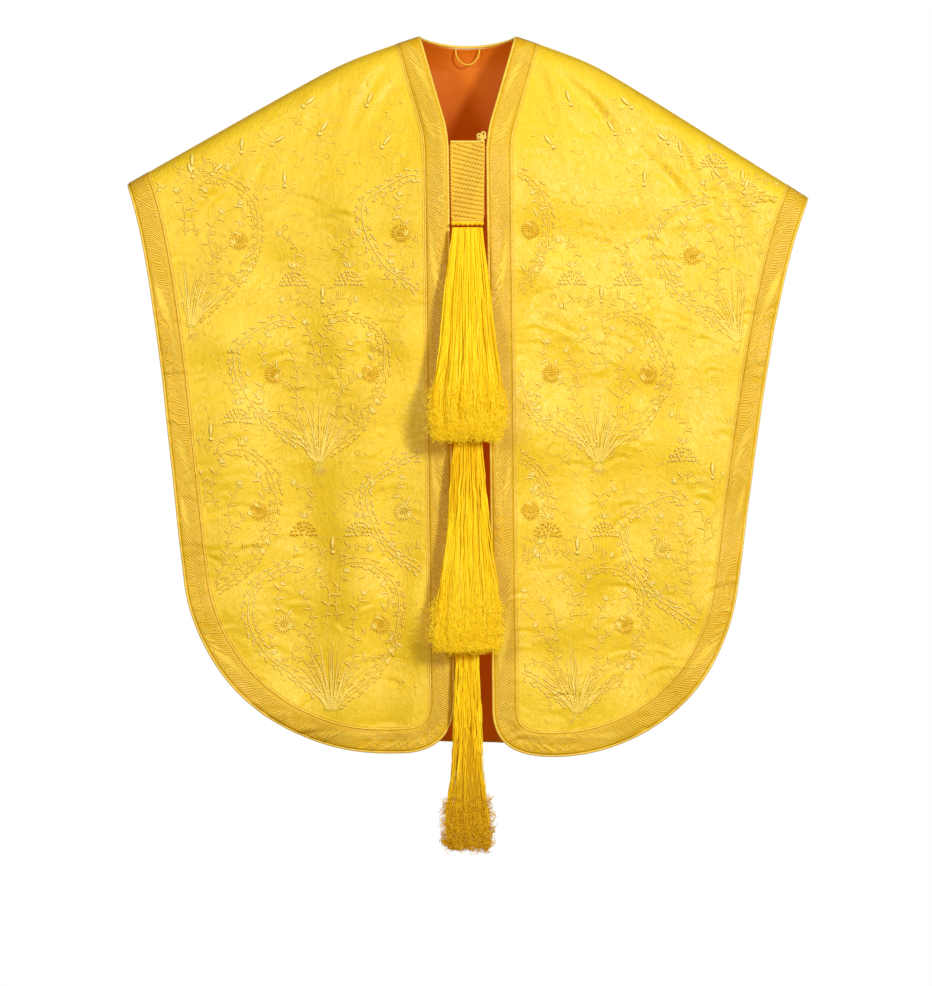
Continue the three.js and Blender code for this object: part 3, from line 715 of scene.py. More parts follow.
# The first colour of each floss is the painted shade along the edges of its stitches.
BORDER_THREAD = thread_material("border stitching", *tones((184, 132, 8), (244, 206, 40), (255, 226, 84)))
PALE_THREAD = thread_material("pale floss", *tones((212, 164, 30), (252, 225, 84), (255, 240, 140)))
GROUND_THREAD = thread_material("silk floss", *tones((200, 150, 14), (248, 214, 54), (255, 232, 104)))
GOLD_THREAD = thread_material("gold floss", *tones((190, 132, 8), (238, 192, 22), (250, 213, 46)))
CORD = cord_material("cord", *tones((226, 180, 36), (248, 214, 66), (255, 232, 112)), 300)
# The band stitching's dark browns are partly the thread's own colour and partly painted shade of the
# quilting grooves that the stitches lie in.
BAND_STITCH = cord_material("band stitching", *tones((150, 96, 8), (186, 130, 16), (216, 164, 32)), 500)
# Three copies of the tassel yarn. The strands are plain. The upper tiers' fluff is paler and glows more,
# painted light against its self-shadow. The lower tier's fluff is darker, painted shade.
TASSEL = tassel_material("tassel silk", *tones((214, 152, 3), (252, 212, 10), (255, 234, 44)), 0.06)
PAINTED_LIGHT_FLUFF = tassel_material("tassel fluff, painted light", *tones((238, 184, 6), (255, 224, 22), (255, 243, 90)), 0.16)
PAINTED_SHADE_FLUFF = tassel_material("tassel fluff, painted shade", *tones((170, 116, 5), (234, 184, 16), (252, 218, 46)), 0.08)
LINING = lining_material()
METAL = metal_material()

# ---- Riding on the bodies ----


def attach(piece, body, slot, *replaced):
    """Ties a piece to a body and hides the CAD nodes that it stands for; its material slot is not used.
    """
    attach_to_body(piece, body)
    if replaced:
        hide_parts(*replaced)
    return piece


def follow(piece, face, slot, replaced=()):
    """Ties a piece to the back, or bakes a front piece's transform into its mesh; either way hides the
    CAD nodes that it stands for.
    """
    if face is BACK:
        return attach(piece, "back", slot, *replaced)
    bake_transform(piece)
    if replaced:
        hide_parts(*replaced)
    return piece


# ---- Panels and linings ----

SILK_HALF = 0.7
LINING_LAYER = (-1.0, -3.3)


def panel_uv(x, points):
    return np.stack([x, -run_lengths(points)], -1)


def cloth_layer(name, x, z, face, lifts, material):
    """The silk or lining over a grid of x and z, between two distances from the middle of the silk."""
    outer = on_cloth(x, z, face, lifts[0])
    inner = on_cloth(x, z, face, lifts[1])
    return shell(name, outer, inner, material, panel_uv(x, outer))


front_panels = {}
for side in (LEFT, RIGHT):
    label = "front_" + side["name"]
    outline = OUTLINES[side["name"], -1]
    x, z = half_panel(outline, EDGE_INSET - 0.5, 3.6)
    silk = cloth_layer(label + "_silk", x, z, FRONT, (SILK_HALF, -SILK_HALF), SILK)
    front_panels[side["name"]] = follow(silk, FRONT, "silk", [label + "_panel"])
    x, z = half_panel(outline, EDGE_INSET - 0.5, 6)
    facing = cloth_layer(label + "_facing", x, z, FRONT, LINING_LAYER, LINING)
    follow(facing, FRONT, "lining", [label + "_lining", label + "_interlining"])

x, z = whole_back(EDGE_INSET - 0.5, 5.2)
back_silk = cloth_layer("back_silk", x, z, BACK, (SILK_HALF, -SILK_HALF), SILK)
follow(back_silk, BACK, "silk", ["back_panel"])
x, z = whole_back(EDGE_INSET - 0.5, 7)
back_facing = cloth_layer("back_facing", x, z, BACK, LINING_LAYER, LINING)
follow(back_facing, BACK, "lining", ["back_lining", "back_interlining"])

# ---- Stitched shapes ----

STITCH_RELIEF = 1.2


class Stitches:
    """Raised thread shapes, each as rings of x, z and height above the cloth."""

    def __init__(self):
        self.points = []
        self.quads = []
        self.uv = []
        self.count = 0

    def stroke(self, path, width, height, sides=6):
        """A padded line along a path of x and z, with a width and height for each of its points."""
        path = np.asarray(path, float)
        steps = len(path)
        run = unit(np.gradient(path, axis=0))
        across = np.stack([-run[:, 1], run[:, 0]], -1)
        turn = 2 * np.pi * np.arange(sides) / sides
        width = np.broadcast_to(width, steps)
        height = np.broadcast_to(height, steps)
        reach = width[:, None] * np.cos(turn) / 2
        flat = path[:, None] + across[:, None] * reach[..., None]
        lift = STITCH_RELIEF * height[:, None] * np.maximum(np.sin(turn), -0.3)
        self.points.append(np.concatenate([flat, lift[..., None]], -1).reshape(-1, 3))
        self.quads.append(grid_quads(steps, sides, closed=True)[:, ::-1] + self.count)
        along = np.append(0, np.cumsum(np.linalg.norm(np.diff(path, axis=0), axis=1)))
        offset = along[:, None] + 7.3 * len(self.points) % 50
        # The across uv masks the painted shade at the edges of the floss.
        self.uv.append(paired(offset, EDGE_UV * np.cos(turn)).reshape(-1, 2))
        self.count += steps * sides

    def petal(self, start, turn, length, width, height, bend=0.0, steps=6):
        """A padded leaf or petal from its foot, at an angle from the x axis."""
        t = np.linspace(0, 1, steps)
        path = start + length * t[:, None] * heading(turn + bend * t)
        swell = np.sin(np.pi * (0.08 + 0.92 * t)) ** 0.75
        swell[-1] = 0.02
        self.stroke(path, width * swell, height * np.sqrt(swell))

    def knot(self, centre, radius, height):
        """A small round knot."""
        t = np.linspace(-1, 1, 5)
        path = centre + radius * paired(t, 0)
        swell = np.sqrt(np.maximum(1 - t * t, 0.001))
        self.stroke(path, 2 * radius * swell, height * swell)

    def ring(self, centre, radius, width, height):
        """A couched ring of thread."""
        path = centre + radius * heading(np.linspace(0, 2 * np.pi, 13))
        self.stroke(path, width, height, sides=5)

    def made(self, name, place, base, face, turned, material):
        """The mesh of all shapes; place() turns their flat points into x and z on the cloth."""
        points = np.concatenate(self.points)
        quads = np.concatenate(self.quads)
        x, z = place(points[:, 0], points[:, 1])
        if turned:
            quads = quads[:, ::-1]
        solid = on_cloth(x, z, face, base + points[:, 2])
        return add_mesh(name, solid, quads, material, np.concatenate(self.uv))


def as_drawn(x, z):
    """The place() of stitches that are drawn in x and z already."""
    return x, z


def flowing(points, step):
    """A smooth curve through points, with a point at about every step."""
    points = np.asarray(points, float)
    padded = np.concatenate([2 * points[:1] - points[1:2], points, 2 * points[-1:] - points[-2:-1]])
    curve = []
    for a, b, c, d in zip(padded, padded[1:], padded[2:], padded[3:]):
        count = max(2, round(float(np.linalg.norm(c - b)) / step))
        t = (np.arange(count) / count)[:, None]
        square = 2 * a - 5 * b + 4 * c - d
        cube = 3 * b - a - 3 * c + d
        curve.append(0.5 * (2 * b + (c - a) * t + square * t**2 + cube * t**3))
    return np.concatenate(curve + [points[-1:]])


# ---- Borders ----

STITCH_PITCH = 4.1
RING_PITCH = 20.5
RING_RADIUS = 4.3
RING_REPEAT = 430
RING_SHARE = 0.36


def border_grid(outline, cell):
    """Lengths and insets over the border band, with its ends on the shoulder line."""
    insets = np.linspace(EDGE_INSET, EDGE_INSET + BAND_WIDTH, round(BAND_WIDTH / cell) + 1)
    ends = np.array([outline.ends(float(inset)) for inset in insets])
    t = np.linspace(0, 1, round(outline.total / cell) + 1)[:, None]
    return ends[:, 0] + t * (ends[:, 1] - ends[:, 0]), insets[None, :]


def ringed(length):
    """Whether the border holds rings at this length along it."""
    return (length / RING_REPEAT + 0.35) % 1 < RING_SHARE


def border_stitching(stitches, outline, seed):
    """Slanting lines of stitching across the band, and rings beside them in some stretches."""
    random = np.random.default_rng(seed)
    start, stop = outline.ends(EDGE_INSET + BAND_WIDTH / 2)
    low = EDGE_INSET + 2
    high = EDGE_INSET + BAND_WIDTH - 1.5
    centre = EDGE_INSET + 9
    for s in np.arange(start - 12, stop + 12, STITCH_PITCH):
        lean = -0.95 - 0.4 * math.sin(s / 47) - 0.2 * math.sin(s / 19 + 1)
        beside = (s - start - 14 + RING_PITCH / 2) % RING_PITCH - RING_PITCH / 2
        crosses = ringed(s) and abs(beside - lean * 6) < RING_RADIUS + 2.5
        first = centre + RING_RADIUS + 2.6 if crosses else low
        inset = np.linspace(first, high, 9)
        curl = 2.2 * np.sin((inset - low) / 5 + s / 31)
        along = s + lean * (inset - high) + curl + random.normal(0, 0.25)
        x, z = outline.at(along, inset)
        below = z < shoulder_height(x * outline.side["sign"]) - 1.5
        if below.sum() < 3:
            continue
        along = along[below]
        inset = inset[below]
        swell = np.full(len(along), 1.0)
        swell[[0, -1]] = 0.15
        stitches.stroke(np.stack([along, inset], -1), 2.7 * swell, 1.2 * swell, sides=5)
    for s in np.arange(start + 14, stop - 14, RING_PITCH):
        if ringed(s):
            stitches.ring((s, centre), RING_RADIUS, 2.0, 1.3)
            arc = (RING_RADIUS + 2.6) * heading(np.linspace(0.5, -2.4, 8))
            stitches.stroke((s, centre) + arc, 1.6, 1.0, sides=5)


def cord_line(outline, inset, lift):
    """Points of a cord laid along an outline."""
    start, stop = outline.ends(inset)
    s = np.linspace(start, stop, round((stop - start) / 3.5) + 1)
    x, z = outline.at(s, inset)
    return on_cloth(x * outline.side["sign"], z, outline.face, lift)


def add_border(side, face, label, nodes):
    """The stitched band of one half, laid on its silk, which stands for CAD bands."""
    outline = OUTLINES[side["name"], face["out"]]
    s, inset = border_grid(outline, 3)
    x, z = outline.at(s, inset)
    x = x * side["sign"]
    outer = on_cloth(x, z, face, BAND_TOP - 0.3)
    uv = paired(s, inset)
    band = shell(label + "_border", outer, on_cloth(x, z, face, 0.9), BORDER, uv)
    stitches = Stitches()
    border_stitching(stitches, outline, 5 + side["sign"] + face["out"])

    def place(length, inset):
        x, z = outline.at(length, inset)
        return x * side["sign"], z

    turned = (side["sign"] < 0) != (face is BACK)
    name = label + "_border_stitching"
    lines = stitches.made(name, place, BAND_TOP - 0.35, face, turned, BORDER_THREAD)
    follow(band, face, "border", nodes)
    follow(lines, face, "border")


def add_pipings(label, face, outlines):
    """The edge cord and the double cord inside the band, along one outline or both of the back's."""
    for name, node, inset, lift, radius in (
        ("_edge_cord", "_edge_piping", 2.6, -0.5, 2.2),
        ("_field_cord", "_field_piping", EDGE_INSET + BAND_WIDTH + 1.9, 1.8, 1.1),
        ("_inner_cord", None, EDGE_INSET + BAND_WIDTH + 5.6, 1.2, 0.75),
    ):
        runs = [cord_line(outline, inset, lift) for outline in outlines]
        path = runs[0] if len(runs) == 1 else np.concatenate([runs[0][:0:-1], runs[1]])
        cord = tubes(label + name, path[None], radius, 8, CORD)
        follow(cord, face, "cord", [label + node] if node else [])


for side in (LEFT, RIGHT):
    label = "front_" + side["name"]
    nodes = [label + "_edge_band", label + "_hem_band", label + "_side_band"]
    add_border(side, FRONT, label, nodes)
    add_pipings(label, FRONT, [OUTLINES[side["name"], -1]])

for side, nodes in ((LEFT, ["back_left_side_band", "back_hem_band"]), (RIGHT, ["back_right_side_band"])):
    add_border(side, BACK, "back_" + side["name"], nodes)
add_pipings("back", BACK, [OUTLINES["left", 1], OUTLINES["right", 1]])

# ---- Embroidery ----

FIELD_MARGIN = 9
# Points below the back's neck band, where no free edge bounds the embroidery.
BELOW_NECK = [(130, -52), (60, -70), (-60, -70), (-130, -52)]
GRASS_BLADES = 27
PETALS = 18
FAN_ROWS = (3.5, 8.7, 14, 19.3)
STAMENS = 10


class Field:
    """The part of a face that embroidery may cover, as a closed outline of x and z."""

    def __init__(self, face, signs):
        margin = EDGE_INSET + BAND_WIDTH + FIELD_MARGIN
        runs = []
        for side in (LEFT, RIGHT):
            if side["sign"] not in signs:
                continue
            outline = OUTLINES[side["name"], face["out"]]
            s = np.linspace(*outline.ends(margin), 500)
            x, z = outline.at(s, margin)
            runs.append(np.stack([x * side["sign"], z - 10 * smooth(z, -300, -200)], -1))
        if len(runs) == 1:
            self.points = runs[0]
        else:
            self.points = np.concatenate([runs[0][::-1], runs[1], BELOW_NECK])

    def holds(self, path):
        """Whether every point of a path is inside."""
        path = np.asarray(path, float)
        a = self.points
        b = np.roll(a, -1, axis=0)
        x = path[:, 0:1]
        z = path[:, 1:2]
        spans = (a[:, 1] > z) != (b[:, 1] > z)
        rise = np.where(b[:, 1] == a[:, 1], 1e-9, b[:, 1] - a[:, 1])
        crossing = (b[:, 0] - a[:, 0]) * (z - a[:, 1]) / rise + a[:, 0]
        return bool(np.all((spans & (x < crossing)).sum(axis=1) % 2 == 1))


class Garden:
    """Embroidery on one face: vines, grasses, daisies, fan flowers and buds in three flosses."""

    def __init__(self, field, seed):
        self.field = field
        self.random = np.random.default_rng(seed)
        self.pale = Stitches()
        self.ground = Stitches()
        self.gold = Stitches()

    def leaf(self, floss, foot, turn, length, width, height, bend=0.0):
        if self.field.holds([foot, foot + length * heading(turn)]):
            floss.petal(foot, turn, length, width, height, bend)

    def stem(self, floss, points, width, height):
        """A stem that stops where it would leave the field; returns its points and directions."""
        path = flowing(points, 4.0)
        inside = [self.field.holds([p]) for p in path]
        best = (0, 0)
        start = 0
        for k, held in enumerate(inside + [False]):
            if held:
                continue
            if k - start > best[1] - best[0]:
                best = (start, k)
            start = k + 1
        if best[1] - best[0] < 4:
            return np.zeros((0, 2)), np.zeros((0, 2))
        path = path[best[0] : best[1]]
        taper = np.ones(len(path))
        taper[[0, -1]] = 0.1
        floss.stroke(path, width * taper, height * taper)
        return path, unit(np.gradient(path, axis=0))

    def vine(self, points, floss):
        """A curving stem with hooked leaves in pairs on both sides."""
        path, run = self.stem(floss, points, 2.7, 1.8)
        for k in range(2, len(path) - 1, 4):
            along = bearing(run[k])
            for hand in (-1, 1):
                if self.random.random() < 0.1:
                    continue
                turn = along + hand * self.random.uniform(1.1, 1.5)
                start = path[k] + self.random.normal(0, 0.8, 2)
                length = self.random.uniform(6, 8)
                knee = start + length * heading(turn)
                self.leaf(self.ground, start, turn, length, 2.8, 1.6)
                for spread in (-0.95, 0.85):
                    size = self.random.uniform(6, 9)
                    self.leaf(floss, knee, turn + spread, size, 4.3, 2.2, 0.7 * np.sign(spread))

    def sprig(self, points, floss):
        """A light stem with a few long leaves and curled ends."""
        path, run = self.stem(self.ground, points, 2.2, 1.3)
        for k in range(2, len(path) - 1, 4):
            along = bearing(run[k])
            hand = 1 if (k // 4) % 2 else -1
            turn = along + hand * 0.7
            self.leaf(floss, path[k], turn, self.random.uniform(10, 16), 4.6, 1.9, hand * 0.6)
            self.leaf(self.ground, path[k], along - hand * 0.8, self.random.uniform(5, 9), 2.8, 1.4)
        if len(path):
            along = bearing(run[-1])
            for spread in (-0.9, -0.3, 0.3, 0.9):
                self.leaf(self.pale, path[-1], along + spread, 11 - 3 * abs(spread), 3.8, 1.9)

    def grasses(self, root):
        """A sheaf of long blades that open out from a root."""
        for k in range(GRASS_BLADES):
            share = 2 * k / (GRASS_BLADES - 1) - 1
            turn = math.pi / 2 - 0.68 * share + self.random.normal(0, 0.035)
            length = 122 - 34 * abs(share) + self.random.uniform(-30, 10)
            t = np.linspace(0, 1, 14)
            angle = turn - 0.42 * share * t * t + self.random.normal(0, 0.1) * t * t
            path = root + length * t[:, None] * heading(angle)
            path[:, 0] += 7 * share * (1 - t)
            if not self.field.holds(path):
                continue
            swell = np.sin(np.pi * (0.16 + 0.82 * t)) ** 0.8
            floss = self.pale if k % 7 == 3 else self.ground
            floss.stroke(path, 3.3 * swell, 1.7 * swell)
        for k in range(9):
            share = (k - 4) / 4
            turn = -math.pi / 2 + 0.75 * share
            self.leaf(self.ground, root, turn, 20 + 6 * math.cos(share), 3, 1.2)
        self.daub(root)

    def daub(self, root):
        """Cross stitches that bind a root."""
        for k in range(-2, 3):
            height = root + np.array([0, 4.5 * k + 12])
            wide = 11 + 1.2 * (k + 2)
            line = [height + (-wide / 2, -1.5), height + (0, 1), height + (wide / 2, -1.5)]
            if self.field.holds(line):
                self.pale.stroke(flowing(line, 3), 1.5, 2.0, sides=5)

    def daisy(self, centre, radius, floss):
        """Narrow petals round a ring of knots, with a few sepals outside."""
        if not self.field.holds(centre + radius * paired([0, 1, -1], 0)):
            return
        for k in range(PETALS):
            turn = 2 * math.pi * k / PETALS
            length = radius * self.random.uniform(0.66, 0.78)
            foot = centre + 0.3 * radius * heading(turn)
            floss.petal(foot, turn, length, 0.26 * radius, 1.5, 0.15)
        for k in range(8):
            floss.knot(centre + 0.17 * radius * heading(2 * math.pi * k / 8), 1.6, 2.2)
        floss.knot(centre, 1.7, 2.6)

    def fan(self, base, floss):
        """A dome-shaped flower head of padded beads, hung from its calyx."""
        top = np.asarray(base, float)
        if not self.field.holds([top, top + (-22, -30), top + (22, -30)]):
            return
        centre = top + (0, -30)
        for radius in FAN_ROWS:
            count = max(2, round(math.pi * radius / 5.4))
            for k in range(count):
                turn = math.pi * (k + 0.5) / count + self.random.normal(0, 0.04)
                foot = centre + radius * heading(turn) * (1, 1.15)
                floss.petal(foot, turn, 5.6, 4.5, 3.2, steps=5)
        for hand in (-1, 1):
            self.leaf(self.pale, top + (0, 2), math.pi / 2 + hand * 1.35, 15, 4, 1.6, hand * -0.6)
            self.leaf(self.ground, top + (0, 3), math.pi / 2 + hand * 0.6, 13, 3.6, 1.5)
            line = [top + (hand * 20, -28), top + (hand * 32, -33), top + (hand * 44, -28)]
            self.stem(self.ground, line, 1.4, 0.9)
        self.leaf(self.pale, top, math.pi / 2, 14, 4.5, 2.0)

    def bud(self, centre, turn):
        """A long padded bud above a round calyx, with fine stamens round it."""
        centre = np.asarray(centre, float)
        ahead = heading(turn)
        if not self.field.holds([centre, centre + 26 * ahead]):
            return
        self.pale.petal(centre + 5 * ahead, turn, 21, 7.5, 3.0, steps=9)
        self.pale.knot(centre, 4.2, 2.8)
        for k in range(STAMENS):
            angle = turn + math.pi - 2.2 + 4.4 * k / (STAMENS - 1)
            length = self.random.uniform(16, 26)
            foot = centre + 5 * heading(angle)
            self.leaf(self.ground, foot, angle, length, 1.3, 0.6, self.random.uniform(-0.5, 0.5))

    def plants(self, roots):
        """A plant at each root; every second left daisy and every third left fan is gold."""
        for k, root in enumerate(roots):
            self.plant(root, k % 2 == 0, k % 3 == 1)

    def plant(self, root, gold_daisy, gold_fan):
        """One whole plant above its root: grasses, two vines, two daisies, two fans and a bud."""
        root = np.asarray(root, float)
        jitter = self.random.normal(0, 2.5, (16, 2))

        def there(pairs):
            return root + np.asarray(pairs, float) + jitter[: len(pairs)]

        self.grasses(root)
        left = [(-8, 12), (-62, 50), (-106, 84), (-133, 135)]
        left += [(-140, 178), (-120, 205), (-72, 232), (-42, 229)]
        right = [(8, 12), (62, 50), (96, 101), (110, 152)]
        right += [(103, 202), (72, 232), (38, 240), (12, 232)]
        # The left vine is in pale floss as a painted highlight on its stem and the hooks of its leaves;
        # the right vine is in the ground floss.
        self.vine(there(left), self.pale)
        self.vine(there(right), self.ground)
        for hand, gold in ((-1, gold_daisy), (1, True)):
            centre = there([(hand * 80, 143)])[0]
            stalk = [(hand * 6, 20), (hand * 30, 70), (hand * 38, 112), (hand * 66, 136)]
            self.sprig(there(stalk), self.ground)
            self.daisy(centre, 17, self.gold if gold else self.ground)
            self.sprig(there([(hand * 38, 112), (hand * 34, 150), (hand * 50, 186)]), self.ground)
            self.sprig(there([(hand * 66, 150), (hand * 92, 172), (hand * 84, 200)]), self.pale)
            self.sprig(there([(hand * 30, 70), (hand * 60, 84), (hand * 86, 78)]), self.ground)
            self.sprig(there([(hand * 92, 132), (hand * 104, 112), (hand * 98, 96)]), self.pale)
            self.sprig(there([(hand * 10, 150), (hand * 6, 190), (hand * 22, 222)]), self.ground)
        for hand, gold in ((-1, gold_fan), (1, False)):
            base = there([(hand * 46, 316)])[0]
            self.fan(base, self.gold if gold else self.pale)
            self.sprig(there([(hand * 46, 330), (hand * 34, 352), (hand * 62, 368)]), self.ground)
            self.sprig(there([(hand * 12, 250), (hand * 30, 268), (hand * 58, 262)]), self.ground)
        self.bud(there([(2, 262)])[0], math.pi / 2)

    def scatter(self, count):
        """Small rings of knots and curled tendrils in the spaces between plants."""
        for _ in range(count):
            x, z = self.random.uniform(-540, 540), self.random.uniform(-1150, -90)
            spots = np.array([(0, 0), (14, 0), (-14, 0), (0, 14), (0, -14)])
            if not self.field.holds((x, z) + spots):
                continue
            turn = self.random.uniform(0, 6.3)
            if self.random.random() < 0.06:
                for k in range(7):
                    self.ground.knot((x, z) + 4 * heading(turn + 2 * math.pi * k / 7), 1.6, 1.3)
                continue
            t = np.linspace(0, 1, 12)
            angle = turn + self.random.choice([-1, 1]) * self.random.uniform(1.6, 3.8) * t
            reach = self.random.uniform(14, 34) * t[:, None] ** 0.7
            path = (x, z) + reach * heading(angle)
            if self.field.holds(path):
                self.ground.stroke(path, 1.9 * (1.1 - t), 0.95 * (1.1 - t), sides=5)
                turn = float(angle[-1])
                self.leaf(self.ground, path[-1], turn, 7, 3, 1.5, 0.6)

    def pieces(self, label, side, face):
        made = []
        for name, stitches, material in (
            ("_pale_embroidery", self.pale, PALE_THREAD),
            ("_silk_embroidery", self.ground, GROUND_THREAD),
            ("_gold_embroidery", self.gold, GOLD_THREAD),
        ):
            piece = stitches.made(label + name, as_drawn, SILK_HALF, face, face is BACK, material)
            made.append(follow(piece, face, "silk"))
        return made


def embroider_front(side):
    garden = Garden(Field(FRONT, [side["sign"]]), 31 + side["sign"])
    if side is LEFT:
        roots = [(-243, -706), (-222, -1112), (-455, -483), (-425, -929), (-28, -470), (-24, -929)]
        buds = [(-300, -252, 1.6), (-372, -196, 1.5), (-322, -182, 0.6), (-243, -166, 1.0)]
        buds += [(-165, -120, 1.2), (-420, -232, 0.8), (-452, -236, 1.9)]
        buds += [(-140, -190, 0.9), (-270, -120, 0.7)]
    else:
        roots = [(215, -706), (180, -1117), (446, -508), (398, -995), (24, -470), (20, -929)]
        buds = [(290, -250, 1.5), (352, -200, 1.7), (330, -180, 2.4), (243, -166, 2.1)]
        buds += [(170, -118, 1.9), (420, -240, 2.3), (455, -262, 1.3)]
        buds += [(140, -190, 2.2), (270, -122, 2.4)]
    garden.plants(roots)
    for x, z, turn in buds:
        garden.bud((x, z), turn)
    garden.scatter(800)
    return garden.pieces("front_" + side["name"], side, FRONT)


def embroider_back():
    """Two gardens, one rooted in each half, so that no piece grows too large."""
    field = Field(BACK, [-1, 1])
    made = []
    for side, middle_roots in ((LEFT, [(0, -495), (0, -1135)]), (RIGHT, [(0, -915)])):
        garden = Garden(field, 41 + side["sign"])
        hand = side["sign"]
        roots = [(232 * hand, z) for z in (-300, -706, -1112)]
        roots += [(452 * hand, z) for z in (-495, -915)] + middle_roots
        garden.plants(roots)
        garden.scatter(200)
        made += garden.pieces("back_" + side["name"], None, BACK)
    return made


for side in (LEFT, RIGHT):
    silk = front_panels[side["name"]]
    pieces = embroider_front(side)
embroider_back()

# ---- Neck band and shoulder seam ----


def neck_band():
    """The border along the back of the neck, its ends on the shoulder seam."""
    high = NECK_HALF + EDGE_INSET
    wide = high + BAND_WIDTH
    t = np.linspace(-1, 1, 71)[:, None]
    share = np.linspace(0, 1, 13)[None, :]
    top_end = shoulder_height(high * np.sign(t + 1e-9))
    low_end = shoulder_height(wide * np.sign(t + 1e-9))
    top_z = -(NECK_DIP + EDGE_INSET) * (1 - t * t) + top_end * t * t
    low = -(NECK_DIP + EDGE_INSET + BAND_WIDTH)
    low_z = low + (low_end - low) * t * t
    return t * (high + (wide - high) * share), top_z + (low_z - top_z) * share


def neck_stitching(x, z):
    """Curved lines of stitching down the neck band, from its grid of x and z."""
    columns, rows = x.shape
    stitches = Stitches()
    for k in range(3, columns - 3):
        share = np.linspace(0.06, 0.95, 9)
        column = k + 1.2 * np.sin(share * 5 + k / 6)
        low = np.clip(column.astype(int), 0, columns - 2)
        part = column - low
        middle = x[:, rows // 2]
        x_line = (middle[low] * (1 - part) + middle[low + 1] * part) * (1 + (share - 0.5) * 0.32)
        places = share * (rows - 1)
        z_line = np.array([np.interp(place, np.arange(rows), z[i]) for place, i in zip(places, low)])
        swell = np.where((share > 0.1) & (share < 0.9), 1.0, 0.2)
        stitches.stroke(np.stack([x_line, z_line], -1), 2.6 * swell, 1.2 * swell, sides=5)
    return stitches.made("back_neck_stitching", as_drawn, BAND_TOP - 0.35, BACK, True, BORDER_THREAD)


x, z = neck_band()
outer = on_cloth(x, z, BACK, BAND_TOP - 0.3)
band = shell("back_neck_border", outer, on_cloth(x, z, BACK, 0.9), BORDER, paired(x, z))
follow(band, BACK, "border", ["back_neck_band"])
lines = neck_stitching(x, z)
follow(lines, BACK, "border")

across = np.linspace(-1, 1, 61)
high = NECK_HALF + 2.2
rim_z = -(NECK_DIP + 1.5) * (1 - across**2) + shoulder_height(high * np.sign(across + 1e-9)) * across**2
edge = on_cloth(high * across, rim_z, BACK, -0.4)
neck_cord = tubes("back_neck_cord", edge[None], 2.2, 8, CORD)
follow(neck_cord, BACK, "cord", ["back_neck_piping"])

for side in (LEFT, RIGHT):
    out = np.linspace(NECK_HALF, side["flank"][3][0] - 1, 130) * side["sign"]
    seam = np.stack([out, 0 * out, shoulder_height(out) + 0.6], -1)
    attach(tubes("shoulder_seam_" + side["name"], seam[None], 1.1, 8, SILK), "back", "silk")

# ---- Breast band ----

BAND_TILT = math.atan2(CLOSURE_TOP[1] - CLOSURE_FOOT[1], CLOSURE_TOP[0] - CLOSURE_FOOT[0])
BAND_LENGTH = math.hypot(CLOSURE_TOP[0] - CLOSURE_FOOT[0], CLOSURE_TOP[1] - CLOSURE_FOOT[1])
ROW_PITCH = 7.6


def in_band(x, lift, down):
    """A point of the breast band's own plane: x across, lift in front of it, down from its top."""
    y = CLOSURE_TOP[1] - lift * math.cos(BAND_TILT) - down * math.sin(BAND_TILT)
    z = CLOSURE_TOP[0] + lift * math.sin(BAND_TILT) - down * math.cos(BAND_TILT)
    return np.stack(np.broadcast_arrays(x, y, z), -1)


def band_half(down):
    return CLOSURE_HALF[0] + (CLOSURE_HALF[1] - CLOSURE_HALF[0]) * down / BAND_LENGTH


def quilted(x, down):
    """Puffed rows between slanting lines of running stitch, crossed by finer slanting lines."""
    slope = 0.3 - 0.16 * down / BAND_LENGTH
    row = (down - slope * x) / ROW_PITCH
    puff = np.abs(np.sin(np.pi * row)) ** 0.55
    pricks = 0.5 + 0.5 * np.cos(2 * np.pi * (x + 0.4 * down) / 2.9)
    near_line = 1 - smooth(np.abs(row - np.round(row)), 0, 0.16)
    crossing = (x + 0.55 * down) / 5.2
    middle = np.exp(-(((x - 4 + 0.3 * (down - 60)) / 17) ** 2))
    cross_line = (1 - smooth(np.abs(crossing - np.round(crossing)), 0, 0.2)) * middle
    return 0.8 * puff - 0.6 * near_line * pricks - 0.45 * cross_line


down = np.linspace(0, BAND_LENGTH, 221)[None, :]
share = np.linspace(-1, 1, 97)[:, None]
x = share * band_half(down)
edge_fall = smooth(1 - np.abs(share), 0, 0.06)
front = in_band(x, 1.1 + quilted(x, down) * edge_fall, down)
band = shell("breast_band_quilting", front, in_band(x, -1.0, down), BAND_SILK, paired(x, -down))
attach(band, "closure", "border", "breast_band", "breast_band_lattice")


def running_stitches():
    """Short stitches along every slanting line of the quilting, and along the finer crossing lines."""
    lines = []
    for row in range(-1, int(BAND_LENGTH / ROW_PITCH) + 2):
        for start in np.arange(-27, 27, 3.1):
            x = start + np.linspace(0, 2.1, 5)
            down = row * ROW_PITCH + (0.3 - 0.16 * row * ROW_PITCH / BAND_LENGTH) * x
            lines.append((x, down))
    for row in range(2, 24):
        for start in np.arange(4, BAND_LENGTH - 4, 3.4):
            down = start + np.linspace(0, 2.0, 5)
            x = 5.2 * row - 0.55 * down
            if abs(x[0] - 4 + 0.3 * (down[0] - 60)) < 17:
                lines.append((x, down))
    kept = [
        in_band(x, 1.2 + 0.55 * np.sin(np.pi * np.linspace(0, 1, 5)), down)
        for x, down in lines
        if down.min() > 2 and down.max() < BAND_LENGTH - 2 and np.abs(x).max() < band_half(down[0]) - 1.5
    ]
    # The stitches lie in the quilting grooves, and their dark brown carries painted groove shade as well
    # as the thread's colour.
    return tubes("breast_band_stitching", np.array(kept), 0.5, 5, BAND_STITCH)


stitching = attach(running_stitches(), "closure", "border")


def band_layer(name, x, lifts, down):
    """A flat layer of lining cloth behind the band, between two lifts."""
    return shell(name, in_band(x, lifts[0], down), in_band(x, lifts[1], down), LINING, paired(x, -down))


